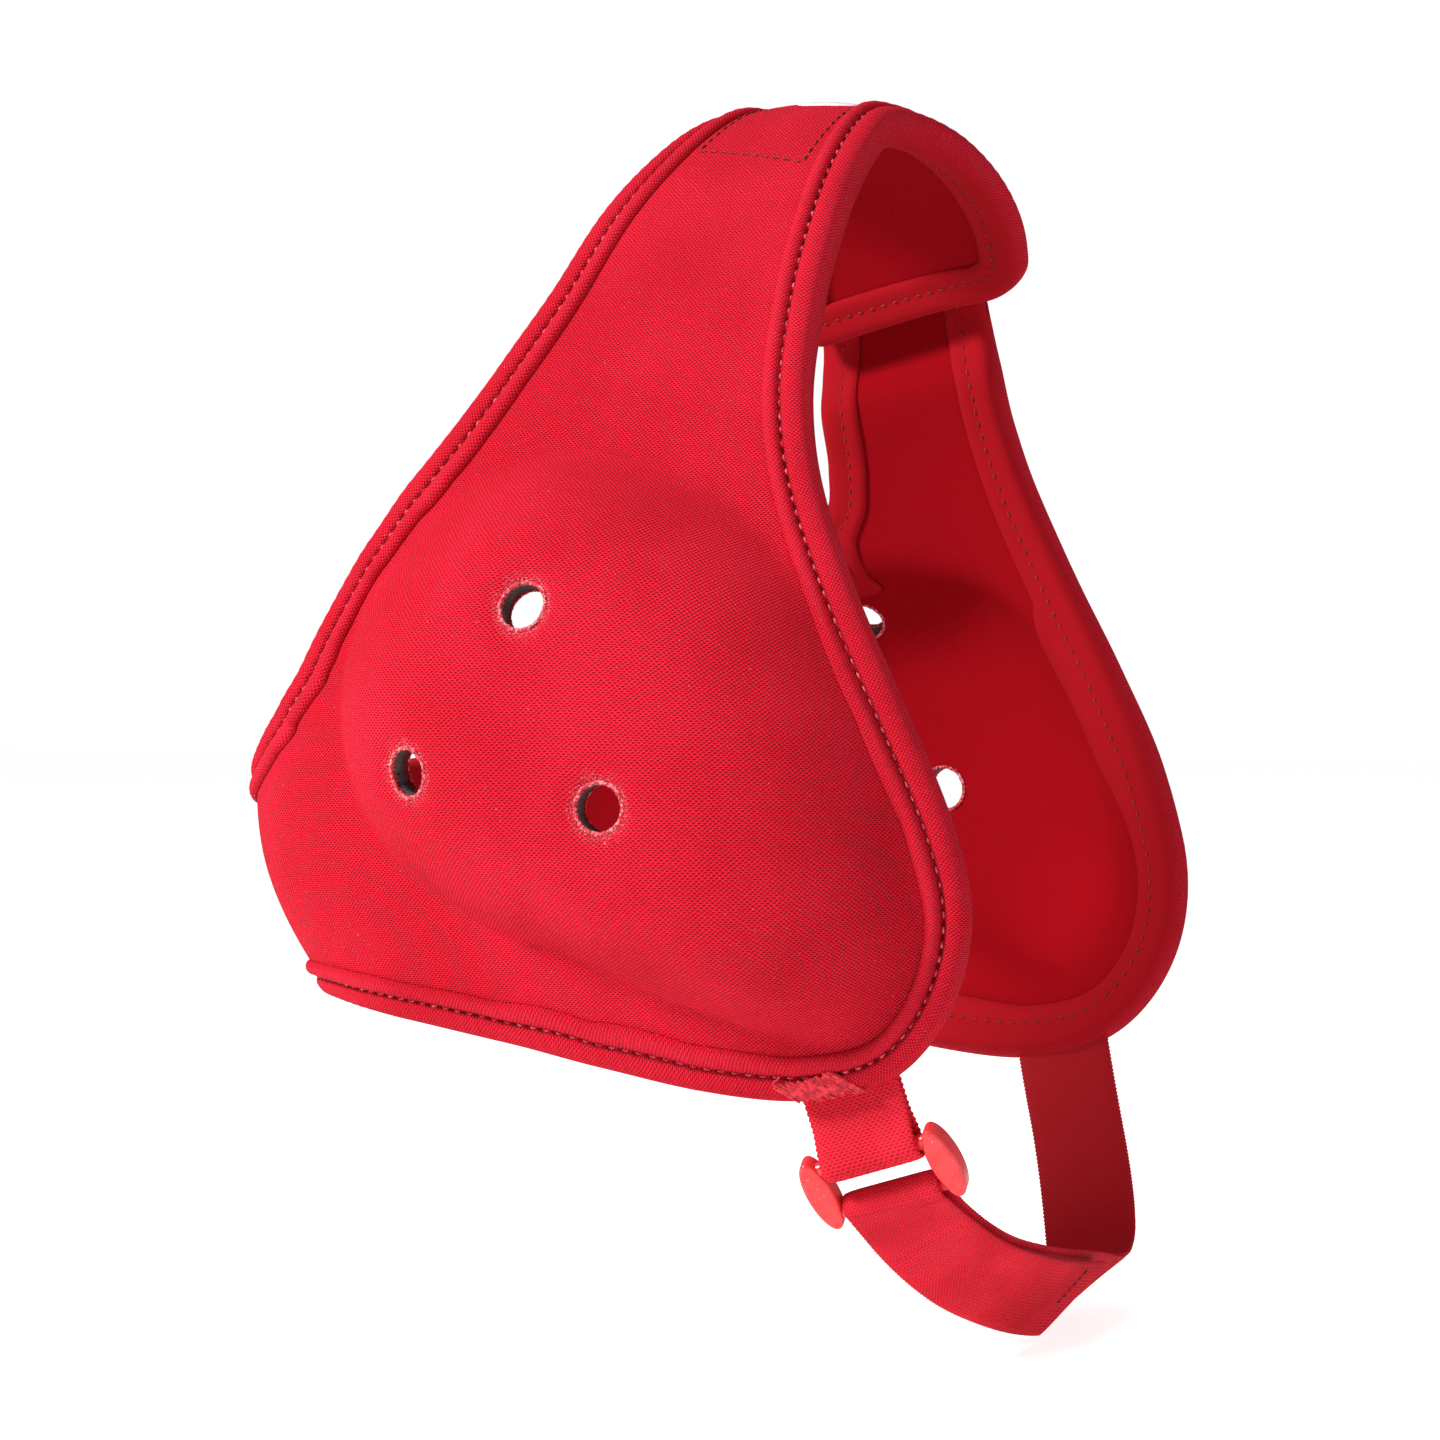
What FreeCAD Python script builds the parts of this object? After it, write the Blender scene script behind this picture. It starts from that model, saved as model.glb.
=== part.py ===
"""Water helmet: a soft padded ear-guard headgear for water sports.

Units are millimetres, +Z is up and the wearer looks toward -Y. The wearer's
right is -X. The origin is midway between the two ear cups.
"""
import FreeCAD, Part
import math
import os

os.makedirs("parts", exist_ok=True)
V = FreeCAD.Vector

# ---------------------------------------------------------------- dimensions
# Outer face of the shell: a rounded head form, before the ear cups rise.
HALF_WIDTH = 77.0
FRONT_DEPTH = 115.0
BACK_DEPTH = 99.0
UP_HEIGHT = 162.0
DOWN_HEIGHT = 95.0
WIDEST_Z = -20.0
PLAN_POWER = 2.9
RISE_POWER = 1.88
CENTRE_Y = 18.0
LEAN_TOP = -0.20
LEAN_NAPE = 0.40

# Laminate: knitted cover, EVA foam, knitted lining.
COVER = 0.8
FOAM_IN = 5.2
WALL = 6.0

# Ear cups.
CUP_HEIGHT = 20.0
CUP_POWER = 3.2
CUP_FOOT = 1.5
CUP_CENTRE = (18.0, 4.0)
CUP_RADII = (55, 58, 59, 58, 60, 60.5, 60, 59, 59, 59.5, 60, 61.5,
             67, 75, 85, 84, 64, 51, 43.5, 42, 42, 43.5, 47, 51)
LEFT_CUP_RADII = (55, 55.5, 51.5, 46.5, 44, 43, 42.5, 44, 48, 54, 58, 61,
                  67, 75, 85, 84, 64, 51, 43.5, 42, 42, 43.5, 47, 51)
VENT_D = 10.0
VENTS = ((20.7, 29.4), (46.0, -3.3), (1.0, -9.5))
LEFT_VENTS = ((19.5, 31.5), (45.0, -3.5), (2.4, -9.8))
DIMPLE_R = 11.0
DIMPLE_DEPTH = 2.6

# Webbing and ring.
WEB_W = 22.0
WEB_T = 1.4
BAR_R = 1.7
RING_PITCH = 10.8
RING_REACH = 14.2
RING_LONG = 8.6
RING_WIDE = 3.1
RING_THICK = 4.6
RING_ROUND = 1.0

# Pairs of points on the two long edges of the right half: rear/top, front/bottom.
RIGHT = (
    ((49, 19, 88), (44, -38, 107)),
    ((34, 16, 113), (32, -40, 120)),
    ((16, 15.5, 132), (14, -35, 132.5)),
    ((-3, 15, 140), (-4, -27.5, 136)),
    ((-20, 20, 134), (-22, -26, 126)),
    ((-36, 28.5, 120), (-38, -26, 112)),
    ((-48, 35.3, 101.8), (-49, -26, 94)),
    ((-55, 44.3, 86), (-58, -27.5, 74)),
    ((-59, 52.4, 75), (-63, -32.4, 55)),
    ((-61, 59.6, 66), (-65.5, -41.4, 33)),
    ((-62, 66, 59), (-66.5, -52.2, 12)),
    ((-63, 71.6, 51.8), (-65.5, -62.3, -10)),
    ((-63, 75.6, 45.7), (-65, -67, -30)),
    ((-63.5, 79.5, 39.5), (-64.5, -62, -50)),
    ((-63.5, 82.9, 33.3), (-63.5, -49, -64)),
    ((-63, 85.7, 28), (-63.5, -30, -68.2)),
    ((-62.5, 88, 23.4), (-65, -8, -66.8)),
    ((-62, 90.8, 18.7), (-67, 14, -62.6)),
    ((-60, 94.6, 13.6), (-67, 35, -57.4)),
    ((-57, 98.4, 8.2), (-63, 58, -53)),
    ((-48, 104.5, 1), (-51, 80, -49.3)),
    ((-30, 112, -3), (-30, 90, -48)),
    ((0, 116, -4), (0, 93, -48)),
)
# The left half has a narrow tongue in place of the crown strap. It is drawn
# on the right and mirrored.
LEFT = (
    ((-55, 15.5, 74), (-53, -25.5, 86)),
    ((-59, 15.5, 62), (-58.5, -27, 73)),
    ((-62, 18, 52), (-62.5, -31, 57)),
    ((-64, 31, 46.5), (-65, -38.8, 37)),
    ((-64.5, 44, 43), (-66.5, -49.5, 18)),
    ((-64.5, 56, 39.5), (-66, -60.8, -3)),
    ((-64.5, 65, 36), (-65, -66.2, -25)),
    ((-64, 72, 32), (-64.5, -63.2, -46)),
    ((-63.5, 78, 28.5), (-63.5, -50.4, -62.4)),
    ((-62.5, 83, 25), (-63.5, -31, -68.2)),
    ((-61.5, 88, 20), (-65, -8, -67)),
    ((-60, 92, 15.5), (-67, 14, -62.8)),
    ((-58.5, 95.5, 11.5), (-67, 35, -57.6)),
    ((-55.5, 99.5, 7), (-63, 58, -53.2)),
    ((-47.5, 105, 1), (-51, 80, -49.4)),
    ((-30, 112, -3), (-30, 90, -48)),
    ((0, 116, -4), (0, 93, -48)),
)
# The tongue's free end lies outside the crown strap: edge points, then how
# far its outer and inner faces stand off the head form.
TAB = (
    ((-55, 15.5, 74), (-53, -25.5, 86), 0.0, -6.0),
    ((-52.5, 15.8, 80), (-49.5, -23, 92), 3.4, -1.4),
    ((-49.5, 15.8, 85.5), (-46, -21, 98), 6.8, 2.8),
    ((-44.5, 15.5, 94.5), (-41, -20.5, 106), 7.1, 3.1),
    ((-39, 15, 103), (-35.5, -20.5, 113), 7.1, 3.1),
    ((-32.5, 14, 111), (-29, -20, 119.5), 7.1, 3.1),
)


# ---------------------------------------------------------------- head form
def centre_y(z):
    """Y of the head form's centre line at height z."""
    t = z + 10.0
    bend = math.sqrt(t * t + 625.0) - 25.0
    return CENTRE_Y + (LEAN_NAPE + LEAN_TOP) / 2 * t - (LEAN_NAPE - LEAN_TOP) / 2 * bend


def head_value(x, y, z):
    """Below zero inside the head form, above zero outside."""
    dy = y - centre_y(z)
    depth = FRONT_DEPTH if dy < 0 else BACK_DEPTH
    plan = abs(x / HALF_WIDTH) ** PLAN_POWER + abs(dy / depth) ** PLAN_POWER
    rise = abs((z - WIDEST_Z) / (UP_HEIGHT if z > WIDEST_Z else DOWN_HEIGHT))
    return plan ** (RISE_POWER / PLAN_POWER) + rise ** RISE_POWER - 1.0


def head_point(d):
    """Point of the head form in direction d from the origin."""
    low, high = 30.0, 200.0
    for _ in range(30):
        mid = (low + high) / 2
        if head_value(d.x * mid, d.y * mid, d.z * mid) < 0:
            low = mid
        else:
            high = mid
    return d * low


def head_normal(p):
    """Outward unit normal of the head form at p."""
    e = 0.05
    n = V(head_value(p.x + e, p.y, p.z) - head_value(p.x - e, p.y, p.z),
          head_value(p.x, p.y + e, p.z) - head_value(p.x, p.y - e, p.z),
          head_value(p.x, p.y, p.z + e) - head_value(p.x, p.y, p.z - e))
    return n.normalize()


def spline(a, b, c, d, t):
    """Catmull-Rom between b and c; works on numbers and vectors."""
    return ((b * 2) + (c - a) * t + (a * 2 - b * 5 + c * 4 - d) * (t * t)
            + (b * 3 - a - c * 3 + d) * (t * t * t)) * 0.5


def along(values, t):
    """Spline through an open list of values at station t."""
    i = min(int(t), len(values) - 2)
    b, c = values[i], values[i + 1]
    a = values[i - 1] if i > 0 else b * 2 - c
    d = values[i + 2] if i + 2 < len(values) else c * 2 - b
    return spline(a, b, c, d, t - i)


def cup_rise(y, z, radii):
    """Height of the ear cup above the head form."""
    dy, dz = y - CUP_CENTRE[0], z - CUP_CENTRE[1]
    turn = (math.degrees(math.atan2(dz, dy)) % 360.0) / 15.0
    i = int(turn)
    r = [radii[(i + k) % 24] for k in (-1, 0, 1, 2)]
    edge = spline(float(r[0]), float(r[1]), float(r[2]), float(r[3]), turn - i)
    h = CUP_HEIGHT * (1 - (math.hypot(dy, dz) / edge) ** CUP_POWER)
    if h > CUP_FOOT:
        return h
    return (h + CUP_FOOT) ** 2 / (4 * CUP_FOOT) if h > -CUP_FOOT else 0.0


def dimple(y, z, vents):
    """Depth of the moulded dimples round the vents."""
    depth = 0.0
    for vy, vz in vents:
        r = math.hypot(y - vy, z - vz) / DIMPLE_R
        if r < 1:
            depth += DIMPLE_DEPTH * math.cos(r * math.pi / 2) ** 2
    return depth


class Panel:
    """A ribbon of shell between its rear/top edge (v = 0) and front edge (v = 1)."""

    def __init__(self, stations, radii=None, vents=()):
        self.rear = [V(*s[0]).normalize() for s in stations]
        self.front = [V(*s[1]).normalize() for s in stations]
        self.radii = radii
        self.vents = vents
        self.last = len(stations) - 1
        self.spans = {}

    def face(self, u, v, dimpled=False):
        """Point of the outer face."""
        a, b = along(self.rear, u).normalize(), along(self.front, u).normalize()
        turn = a.getAngle(b)
        d = a * (math.sin((1 - v) * turn)) + b * math.sin(v * turn)
        p = head_point(d.normalize())
        if not self.radii:
            return p
        h = cup_rise(p.y, p.z, self.radii)
        if dimpled:
            h -= dimple(p.y, p.z, self.vents)
        return p + head_normal(p) * h if h else p

    def frame(self, u, v, dimpled=False):
        """Outer point, outward normal and the direction of rising v."""
        e = 0.02
        v1, v2 = max(v - 0.006, -0.02), min(v + 0.006, 1.02)
        u1, u2 = max(u - e, 0.0), min(u + e, float(self.last))
        p = self.face(u, v, dimpled)
        dv = self.face(u, v2, dimpled) - self.face(u, v1, dimpled)
        du = self.face(u2, v, dimpled) - self.face(u1, v, dimpled)
        n = dv.cross(du).normalize()
        if n.dot(p) < 0:
            n = n * -1
        if abs(p.x) < 1e-6:
            n.x = dv.x = 0.0
        return p, n.normalize(), dv.normalize()

    def span(self, u):
        """Length across the ribbon at station u."""
        key = round(u, 4)
        if key not in self.spans:
            pts = [self.face(u, k / 12.0) for k in range(13)]
            self.spans[key] = sum((q - p).Length for p, q in zip(pts, pts[1:]))
        return self.spans[key]

    def edge_point(self, u, side, s, h):
        """Point s inward from a long edge and h above the outer face."""
        rim = float(side)
        step = s / self.span(u)
        v = rim - step if side else step
        inside = min(max(v, 0.0), 1.0)
        p, n, t = self.frame(u, inside)
        over = (v - inside) * self.span(u)
        return p + n * h + t * over


# ---------------------------------------------------------------- solids
def knots(count):
    """Clamped uniform cubic knots and multiplicities for count poles."""
    inner = count - 2
    return [float(i) for i in range(inner)], [4] + [1] * (inner - 2) + [4]


def smooth_face(grid):
    """Cubic surface whose poles are the grid."""
    ku, mu = knots(len(grid))
    kv, mv = knots(len(grid[0]))
    s = Part.BSplineSurface()
    s.buildFromPolesMultsKnots(grid, mu, mv, ku, kv, False, False, 3, 3)
    return s.toShape()


def ruled_face(a, b):
    """Face between two rails of equal pole count."""
    k, m = knots(len(a))
    s = Part.BSplineSurface()
    s.buildFromPolesMultsKnots([a, b], [2, 2], m, [0.0, 1.0], k, False, False, 1, 3)
    return s.toShape()


def flat_face(a, b, c, d):
    """Four-cornered face."""
    s = Part.BSplineSurface()
    s.buildFromPolesMultsKnots([[a, b], [d, c]], [2, 2], [2, 2], [0.0, 1.0],
                               [0.0, 1.0], False, False, 1, 1)
    return s.toShape()


def close(faces):
    """Sew faces into one solid."""
    shell = Part.makeShell(faces)
    shell.sewShape()
    solid = Part.Solid(shell)
    if solid.Volume < 0:
        solid.reverse()
    return solid


def slab(top, bottom):
    """Solid between two grids of the same size."""
    sides = []
    for pick in (lambda g: g[0], lambda g: g[-1],
                 lambda g: [r[0] for r in g], lambda g: [r[-1] for r in g]):
        sides.append(ruled_face(pick(top), pick(bottom)))
    return close([smooth_face(top), smooth_face(bottom)] + sides)


def strip(outer, inner):
    """Solid between two chains of rails, with a closed end at each side."""
    faces = []
    for i in range(len(outer) - 1):
        faces.append(ruled_face(outer[i], outer[i + 1]))
        faces.append(ruled_face(inner[i], inner[i + 1]))
        for j in (0, -1):
            faces.append(flat_face(outer[i][j], outer[i + 1][j],
                                   inner[i + 1][j], inner[i][j]))
    faces.append(ruled_face(outer[0], inner[0]))
    faces.append(ruled_face(outer[-1], inner[-1]))
    return close(faces)


def steps(start, end, count):
    return [start + (end - start) * k / (count - 1.0) for k in range(count)]


def layer_grids(panel, across):
    """The four faces of the laminate, from outside in."""
    us = steps(0.0, float(panel.last), 4 * panel.last + 1)
    vs = steps(0.0, 1.0, across)
    grids = [[], [], [], []]
    for u in us:
        dimpled = [panel.frame(u, v, True) for v in vs]
        plain = [panel.frame(u, v) for v in vs]
        grids[0].append([f[0] for f in dimpled])
        grids[1].append([f[0] - f[1] * COVER for f in dimpled])
        grids[2].append([f[0] - f[1] * FOAM_IN for f in plain])
        grids[3].append([f[0] - f[1] * WALL for f in plain])
    return grids


# Folded binding: distance from the edge, then heights of its outside and
# inside. The dip between the two ridges is the stitch groove.
BINDING = (
    (7.6, 1.4, 0.8), (6.4, 1.7, 0.8), (5.1, 1.5, 0.65), (4.6, 0.95, 0.45),
    (4.0, 1.3, 0.3), (2.0, 1.45, 0.15), (0.0, 1.2, 0.12),
)
BINDING_BACK = (
    (0.0, -7.1, -6.12), (4.3, -7.0, -6.12), (8.6, -6.8, -6.12),
)
RIM = ((-1.3, 0.0), (-1.3, -5.9))
RIM_IN = ((-0.12, 0.12), (-0.12, -6.12))


def binding_rails(place, us):
    """Rails of a folded binding; place(u, s, h) gives the points."""
    out = [[place(u, s, h) for u in us] for s, h, _ in BINDING]
    ins = [[place(u, s, k) for u in us] for s, _, k in BINDING]
    for (s, h), (t, k) in zip(RIM, RIM_IN):
        out.append([place(u, s, h) for u in us])
        ins.append([place(u, t, k) for u in us])
    for s, h, k in BINDING_BACK:
        out.append([place(u, s, h) for u in us])
        ins.append([place(u, s, k) for u in us])
    return out, ins


def level(u, h):
    """Height on the shell: measured from the outer face."""
    return h


def tab_level(u, h):
    """Height on the tongue's end, whose faces step out over the strap."""
    if h > -3:
        return along([s[2] for s in TAB], u) + h
    return along([s[3] for s in TAB], u) + WALL + h


def long_binding(panel, side, stand=level, start=0.0):
    """Binding along the rear (side 0) or front (side 1) edge."""
    end = float(panel.last)
    us = steps(start, end, int(round((end - start) * 4)) + 1)
    rails = binding_rails(lambda u, s, h: panel.edge_point(u, side, s, stand(u, h)), us)
    return strip(*rails)


def end_binding(panel, u0, away, v1, v2, stand=level):
    """Binding across an end of a panel; away is +1 at its first end."""

    def place(v, s, h):
        reach = (panel.face(u0 + 0.25 * away, v) - panel.face(u0, v)).Length / 0.25
        u = u0 + away * max(s, 0.0) / reach
        p, n, _ = panel.frame(u, v)
        out = (panel.face(u0, v) - panel.face(u0 + 0.25 * away, v)).normalize()
        return p + n * stand(u, h) + out * max(-s, 0.0)

    return strip(*binding_rails(place, steps(v1, v2, 13)))


def patch(panel, us, vs, high, low):
    """Thin piece lying on a panel, between two heights."""
    grids = [[], []]
    for u in us:
        frames = [panel.frame(u, v) for v in vs]
        for grid, stand in zip(grids, (high, low)):
            grid.append([p + n * stand(u) for p, n, _ in frames])
    return slab(grids[0], grids[1])


def vent_axes(panel):
    """Point and outward direction of each vent."""
    radii, axes = panel.radii, []
    for y, z in panel.vents:
        p = V(-75.0, y, z)
        for _ in range(6):
            q = head_point(V(p).normalize())
            p = V(q.x, y, z)
        n = head_normal(q)
        a = q + n * cup_rise(q.y, q.z, radii)

        def lifted(dy, dz):
            r = head_point(V(q.x, y + dy, z + dz).normalize())
            return r + head_normal(r) * cup_rise(r.y, r.z, radii)

        along_y = lifted(3, 0) - lifted(-3, 0)
        along_z = lifted(0, 3) - lifted(0, -3)
        n = along_y.cross(along_z).normalize()
        if n.x > 0:
            n = n * -1
        axes.append((a, n))
    return axes


def drill(shape, axes):
    for p, n in axes:
        shape = shape.cut(Part.makeCylinder(VENT_D / 2, 24, p - n * 16, n))
    return shape


def mirror(shape):
    return shape.mirror(V(0, 0, 0), V(1, 0, 0))


NODES = {}

# ---------------------------------------------------------------- right half
right = Panel(RIGHT, CUP_RADII, VENTS)
faces = layer_grids(right, 25)
axes = vent_axes(right)
NODES["right_cover"] = drill(slab(faces[0], faces[1]), axes)
NODES["right_foam"] = drill(slab(faces[1], faces[2]), axes)
NODES["right_lining"] = drill(slab(faces[2], faces[3]), axes)
NODES["right_front_binding"] = long_binding(right, 1)
NODES["right_rear_binding"] = long_binding(right, 0)
NODES["crown_end_binding"] = end_binding(right, 0.0, 1, 0.16, 0.84)
NODES["crown_print"] = patch(right, steps(2.27, 3.23, 7), steps(0.41, 0.77, 9),
                             lambda u: 0.35, lambda u: 0.05)
NODES["crown_loop_patch"] = patch(right, steps(0.40, 1.0, 9), steps(0.2, 0.8, 9),
                                  lambda u: 1.5, lambda u: 0.05)

# ---------------------------------------------------------------- left half
left = Panel(LEFT, LEFT_CUP_RADII, LEFT_VENTS)
faces = layer_grids(left, 25)
axes = vent_axes(left)
NODES["left_cover"] = mirror(drill(slab(faces[0], faces[1]), axes))
NODES["left_foam"] = mirror(drill(slab(faces[1], faces[2]), axes))
NODES["left_lining"] = mirror(drill(slab(faces[2], faces[3]), axes))
NODES["left_front_binding"] = mirror(long_binding(left, 1))
NODES["left_rear_binding"] = mirror(long_binding(left, 0))

# Seam tape inside the nape, over the butted ends of the two halves.
vs = steps(0.2, 0.8, 9)
near_rail = [right.frame(21.78, v) for v in vs]
mid_rail = [right.frame(22.0, v) for v in vs]
tape = []
for h in (-6.7, -6.1):
    near_pts = [p + n * h for p, n, _ in near_rail]
    far_pts = [V(-p.x, p.y, p.z) for p in near_pts]
    tape.append([near_pts, [p + n * h for p, n, _ in mid_rail], far_pts])
NODES["nape_seam_tape"] = strip(tape[0], tape[1])

# ---------------------------------------------------------------- crown tab
tab = Panel([s[:2] for s in TAB])
TAB_START = 0.06
us = steps(TAB_START, 5.0, 21)
vs = steps(0.0, 1.0, 13)


def tab_layer(high, low):
    return mirror(patch(tab, us, vs, high, low))


def tab_out(u):
    return tab_level(u, 0.0)


def tab_in(u):
    return tab_level(u, -WALL)


NODES["tab_cover"] = tab_layer(tab_out, lambda u: tab_out(u) - COVER)
NODES["tab_foam"] = tab_layer(lambda u: tab_out(u) - COVER, lambda u: tab_in(u) + COVER)
NODES["tab_lining"] = tab_layer(lambda u: tab_in(u) + COVER, tab_in)
NODES["tab_front_binding"] = mirror(long_binding(tab, 1, tab_level, TAB_START))
NODES["tab_rear_binding"] = mirror(long_binding(tab, 0, tab_level, TAB_START))
NODES["tab_end_binding"] = mirror(end_binding(tab, 5.0, -1, 0.27, 0.73, tab_level))
NODES["tab_hook_patch"] = mirror(patch(tab, steps(2.75, 4.0, 9), steps(0.22, 0.78, 9),
                                       lambda u: tab_in(u) - 0.05,
                                       lambda u: tab_in(u) - 1.2))

# ---------------------------------------------------------------- chin ring
RING_MID = V(-56.5, -45.3, -84.3)
ACROSS = V(0, -0.958, 0.285).normalize()
DOWN = V(0.545, -0.24, -0.80)
DOWN = (DOWN - ACROSS * DOWN.dot(ACROSS)).normalize()
THROUGH = ACROSS.cross(DOWN).normalize()
upper_bar = RING_MID - DOWN * (RING_PITCH / 2)
lower_bar = RING_MID + DOWN * (RING_PITCH / 2)
bar_len = 2 * RING_REACH
ring = Part.makeCylinder(BAR_R, bar_len, upper_bar - ACROSS * RING_REACH, ACROSS)
ring = ring.fuse(Part.makeCylinder(BAR_R, bar_len, lower_bar - ACROSS * RING_REACH, ACROSS))
for side in (-1, 1):
    oval = Part.Ellipse(V(0, RING_LONG, 0), V(RING_WIDE, 0, 0), V(0, 0, 0)).toShape()
    plate = Part.Face(Part.Wire(oval)).extrude(V(0, 0, RING_THICK))
    plate = plate.makeFillet(RING_ROUND, [e for e in plate.Edges if e.isClosed()])
    corner = RING_MID + ACROSS * (side * RING_REACH) - THROUGH * (RING_THICK / 2)
    plate.Placement = FreeCAD.Placement(FreeCAD.Matrix(
        ACROSS.x, DOWN.x, THROUGH.x, corner.x, ACROSS.y, DOWN.y, THROUGH.y, corner.y,
        ACROSS.z, DOWN.z, THROUGH.z, corner.z, 0, 0, 0, 1))
    ring = ring.fuse(plate)
NODES["chin_ring"] = ring

# ---------------------------------------------------------------- keeper loop
LOOP_R = BAR_R + 0.3


def loop_profile(bar, d, n, length, lead, gap):
    """Outline of webbing folded round a bar, its plies running along d."""
    far, near = LOOP_R + WEB_T, LOOP_R

    def at(x, y):
        return bar + d * x + n * y

    edges = []
    for r, tip in ((far, gap + WEB_T), (near, gap)):
        edges.append(Part.makeLine(at(length, tip), at(lead, tip)))
        edges.append(Part.makeLine(at(lead, tip), at(0, r)))
        edges.append(Part.Arc(at(0, r), at(-r, 0), at(0, -r)).toShape())
        edges.append(Part.makeLine(at(0, -r), at(lead, -tip)))
        edges.append(Part.makeLine(at(lead, -tip), at(length, -tip)))
    for sign in (-1, 1):
        edges.append(Part.makeLine(at(length, sign * gap), at(length, sign * (gap + WEB_T))))
    return Part.Face(Part.Wire(Part.__sortEdges__(edges)))


edge_p, edge_n, edge_t = right.frame(14.52, 1.0)
rim_mid = edge_p - edge_n * (WALL / 2)
rise = rim_mid - upper_bar
rise = rise - ACROSS * rise.dot(ACROSS)
keeper_len = rise.Length + 3.0
rise.normalize()
flat_n = ACROSS.cross(rise).normalize()
profile = loop_profile(upper_bar - ACROSS * (WEB_W / 2), rise, flat_n, keeper_len, 7.5, 0.03)
NODES["keeper_webbing"] = profile.extrude(ACROSS * WEB_W)

# ---------------------------------------------------------------- chin strap
STRAP = (
    ((-46.5, -49.8, -96.2), (0, -0.91, 0.42)),
    ((-38.5, -53.3, -102.4), (0, -0.84, 0.54)),
    ((-30, -56.8, -107), (0, -0.78, 0.62)),
    ((-15, -60.2, -111.3), (0, -0.70, 0.71)),
    ((0, -61.6, -113.8), (0, -0.66, 0.75)),
    ((15, -60.1, -115.2), (0, -0.70, 0.71)),
    ((30, -56.5, -115.6), (0, -0.78, 0.62)),
    ((43, -52.6, -114), (0, -0.88, 0.47)),
    ((53, -48.8, -108.4), (0, -0.96, 0.27)),
    ((59, -45.6, -99.2), (0, -0.99, 0.1)),
    ((61.5, -43, -88), (0, -1, 0.05)),
)
left_p = V(-edge_p.x, edge_p.y, edge_p.z)
left_n = V(-edge_n.x, edge_n.y, edge_n.z)
far_end = left_p - left_n * (WALL / 2)
leave = V(0.68, -0.31, -0.66)
leave = (leave - ACROSS * leave.dot(ACROSS)).normalize()
path = [lower_bar, lower_bar + leave * 3.0]
path += [V(*p) for p, _ in STRAP] + [far_end - V(-0.4, 1.5, 9), far_end + V(0, 0.5, 3)]
wides = [ACROSS, ACROSS] + [V(*w) for _, w in STRAP] + [V(0, -0.98, 0.2), V(0, -0.973, 0.23)]
LAST = float(len(path) - 1)


def strap_frame(s):
    """Middle of the strap, its width direction and its outward normal."""
    p = along(path, s)
    a, b = along(path, max(s - 0.02, 0.0)), along(path, min(s + 0.02, LAST))
    t = (b - a).normalize()
    w = along(wides, s)
    w = (w - t * w.dot(t)).normalize()
    return p, w, t.cross(w).normalize(), t


def ribbon(places, half, shift=0.0):
    """Webbing through (station, low face, high face) places."""
    out, ins = [[], []], [[], []]
    for s, low, high in places:
        p, w, n, t = strap_frame(max(s, 0.0))
        for k, side in enumerate((half + shift, -half + shift)):
            out[k].append(p + w * side + n * high)
            ins[k].append(p + w * side + n * low)
    return out, ins


def fold_rails(half):
    """Rails of the fold round the lower bar, from the outer to the inner ply."""
    _, w, n, t = strap_frame(0.0)
    out, ins = [[], []], [[], []]
    for k in range(11):
        turn = math.radians(18.0 * k)
        ray = n * math.cos(turn) - t * math.sin(turn)
        for m, side in enumerate((half, -half)):
            out[m].append(lower_bar + w * side + ray * (LOOP_R + WEB_T + 0.05))
            ins[m].append(lower_bar + w * side + ray * (LOOP_R + 0.05))
    return out, ins


SPLIT = 2.15
half = WEB_W / 2
lead = [(s, 0.9 + k, 2.3 + k) for s, k in ((SPLIT - 0.02, 0.0), (1.9, 0.05), (1.6, 0.2),
                                          (1.3, 0.45), (1.0, 0.75), (0.5, 1.0))]
first_out, first_in = ribbon(lead, half)
fold_out, fold_in = fold_rails(half)
back = [(0.5, -3.4, -2.0), (1.0, -3.15, -1.75), (1.3, -2.85, -1.45), (1.6, -2.5, -1.1)]
back += [(s, -2.3, -0.9) for s in steps(2.0, 6.0, 17)]
back += [(s, -2.3 + k, -0.9 + k) for s, k in ((6.3, 0.15), (6.6, 0.4), (7.0, 0.8), (7.4, 1.2),
                                             (7.8, 1.5))]
back += [(s, -0.7, 0.7) for s in steps(8.1, LAST, 25)]
back_out, back_in = ribbon([(s, b, a) for s, a, b in back], half)
rails_out = [first_out[k] + fold_out[k] + back_in[k] for k in (0, 1)]
rails_in = [first_in[k] + fold_in[k] + back_out[k] for k in (0, 1)]
NODES["chin_strap"] = strip(rails_out, rails_in)

tail = [(s, 0.9, 2.3) for s in steps(SPLIT + 0.02, 6.35, 25)]
NODES["strap_tail"] = strip(*ribbon(tail, half))
pad = steps(4.2, 6.2, 13)
NODES["tail_hook_patch"] = strip(*ribbon([(s, 0.08, 0.86) for s in pad], 9.5))
NODES["strap_loop_patch"] = strip(*ribbon([(s, -0.86, 0.0) for s in pad], 9.5))

# ---------------------------------------------------------------- bartacks
for name, panel, u1, u2 in (("right_bartack", right, 14.1, 15.0),
                            ("left_bartack", left, 8.1, 9.0)):
    us = steps(u1, u2, 9)
    rails = [[[panel.edge_point(u, 1, s, h) for u in us] for s in (6.8, 3.0, -0.6)]
             for h in (2.5, 1.8)]
    shape = strip(rails[0], rails[1])
    NODES[name] = shape if name == "right_bartack" else mirror(shape)

# The rear bindings are trimmed where the foot of the ear cup runs under them.
for half_name in ("right", "left"):
    key = half_name + "_rear_binding"
    NODES[key] = NODES[key].cut(NODES[half_name + "_cover"])

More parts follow.
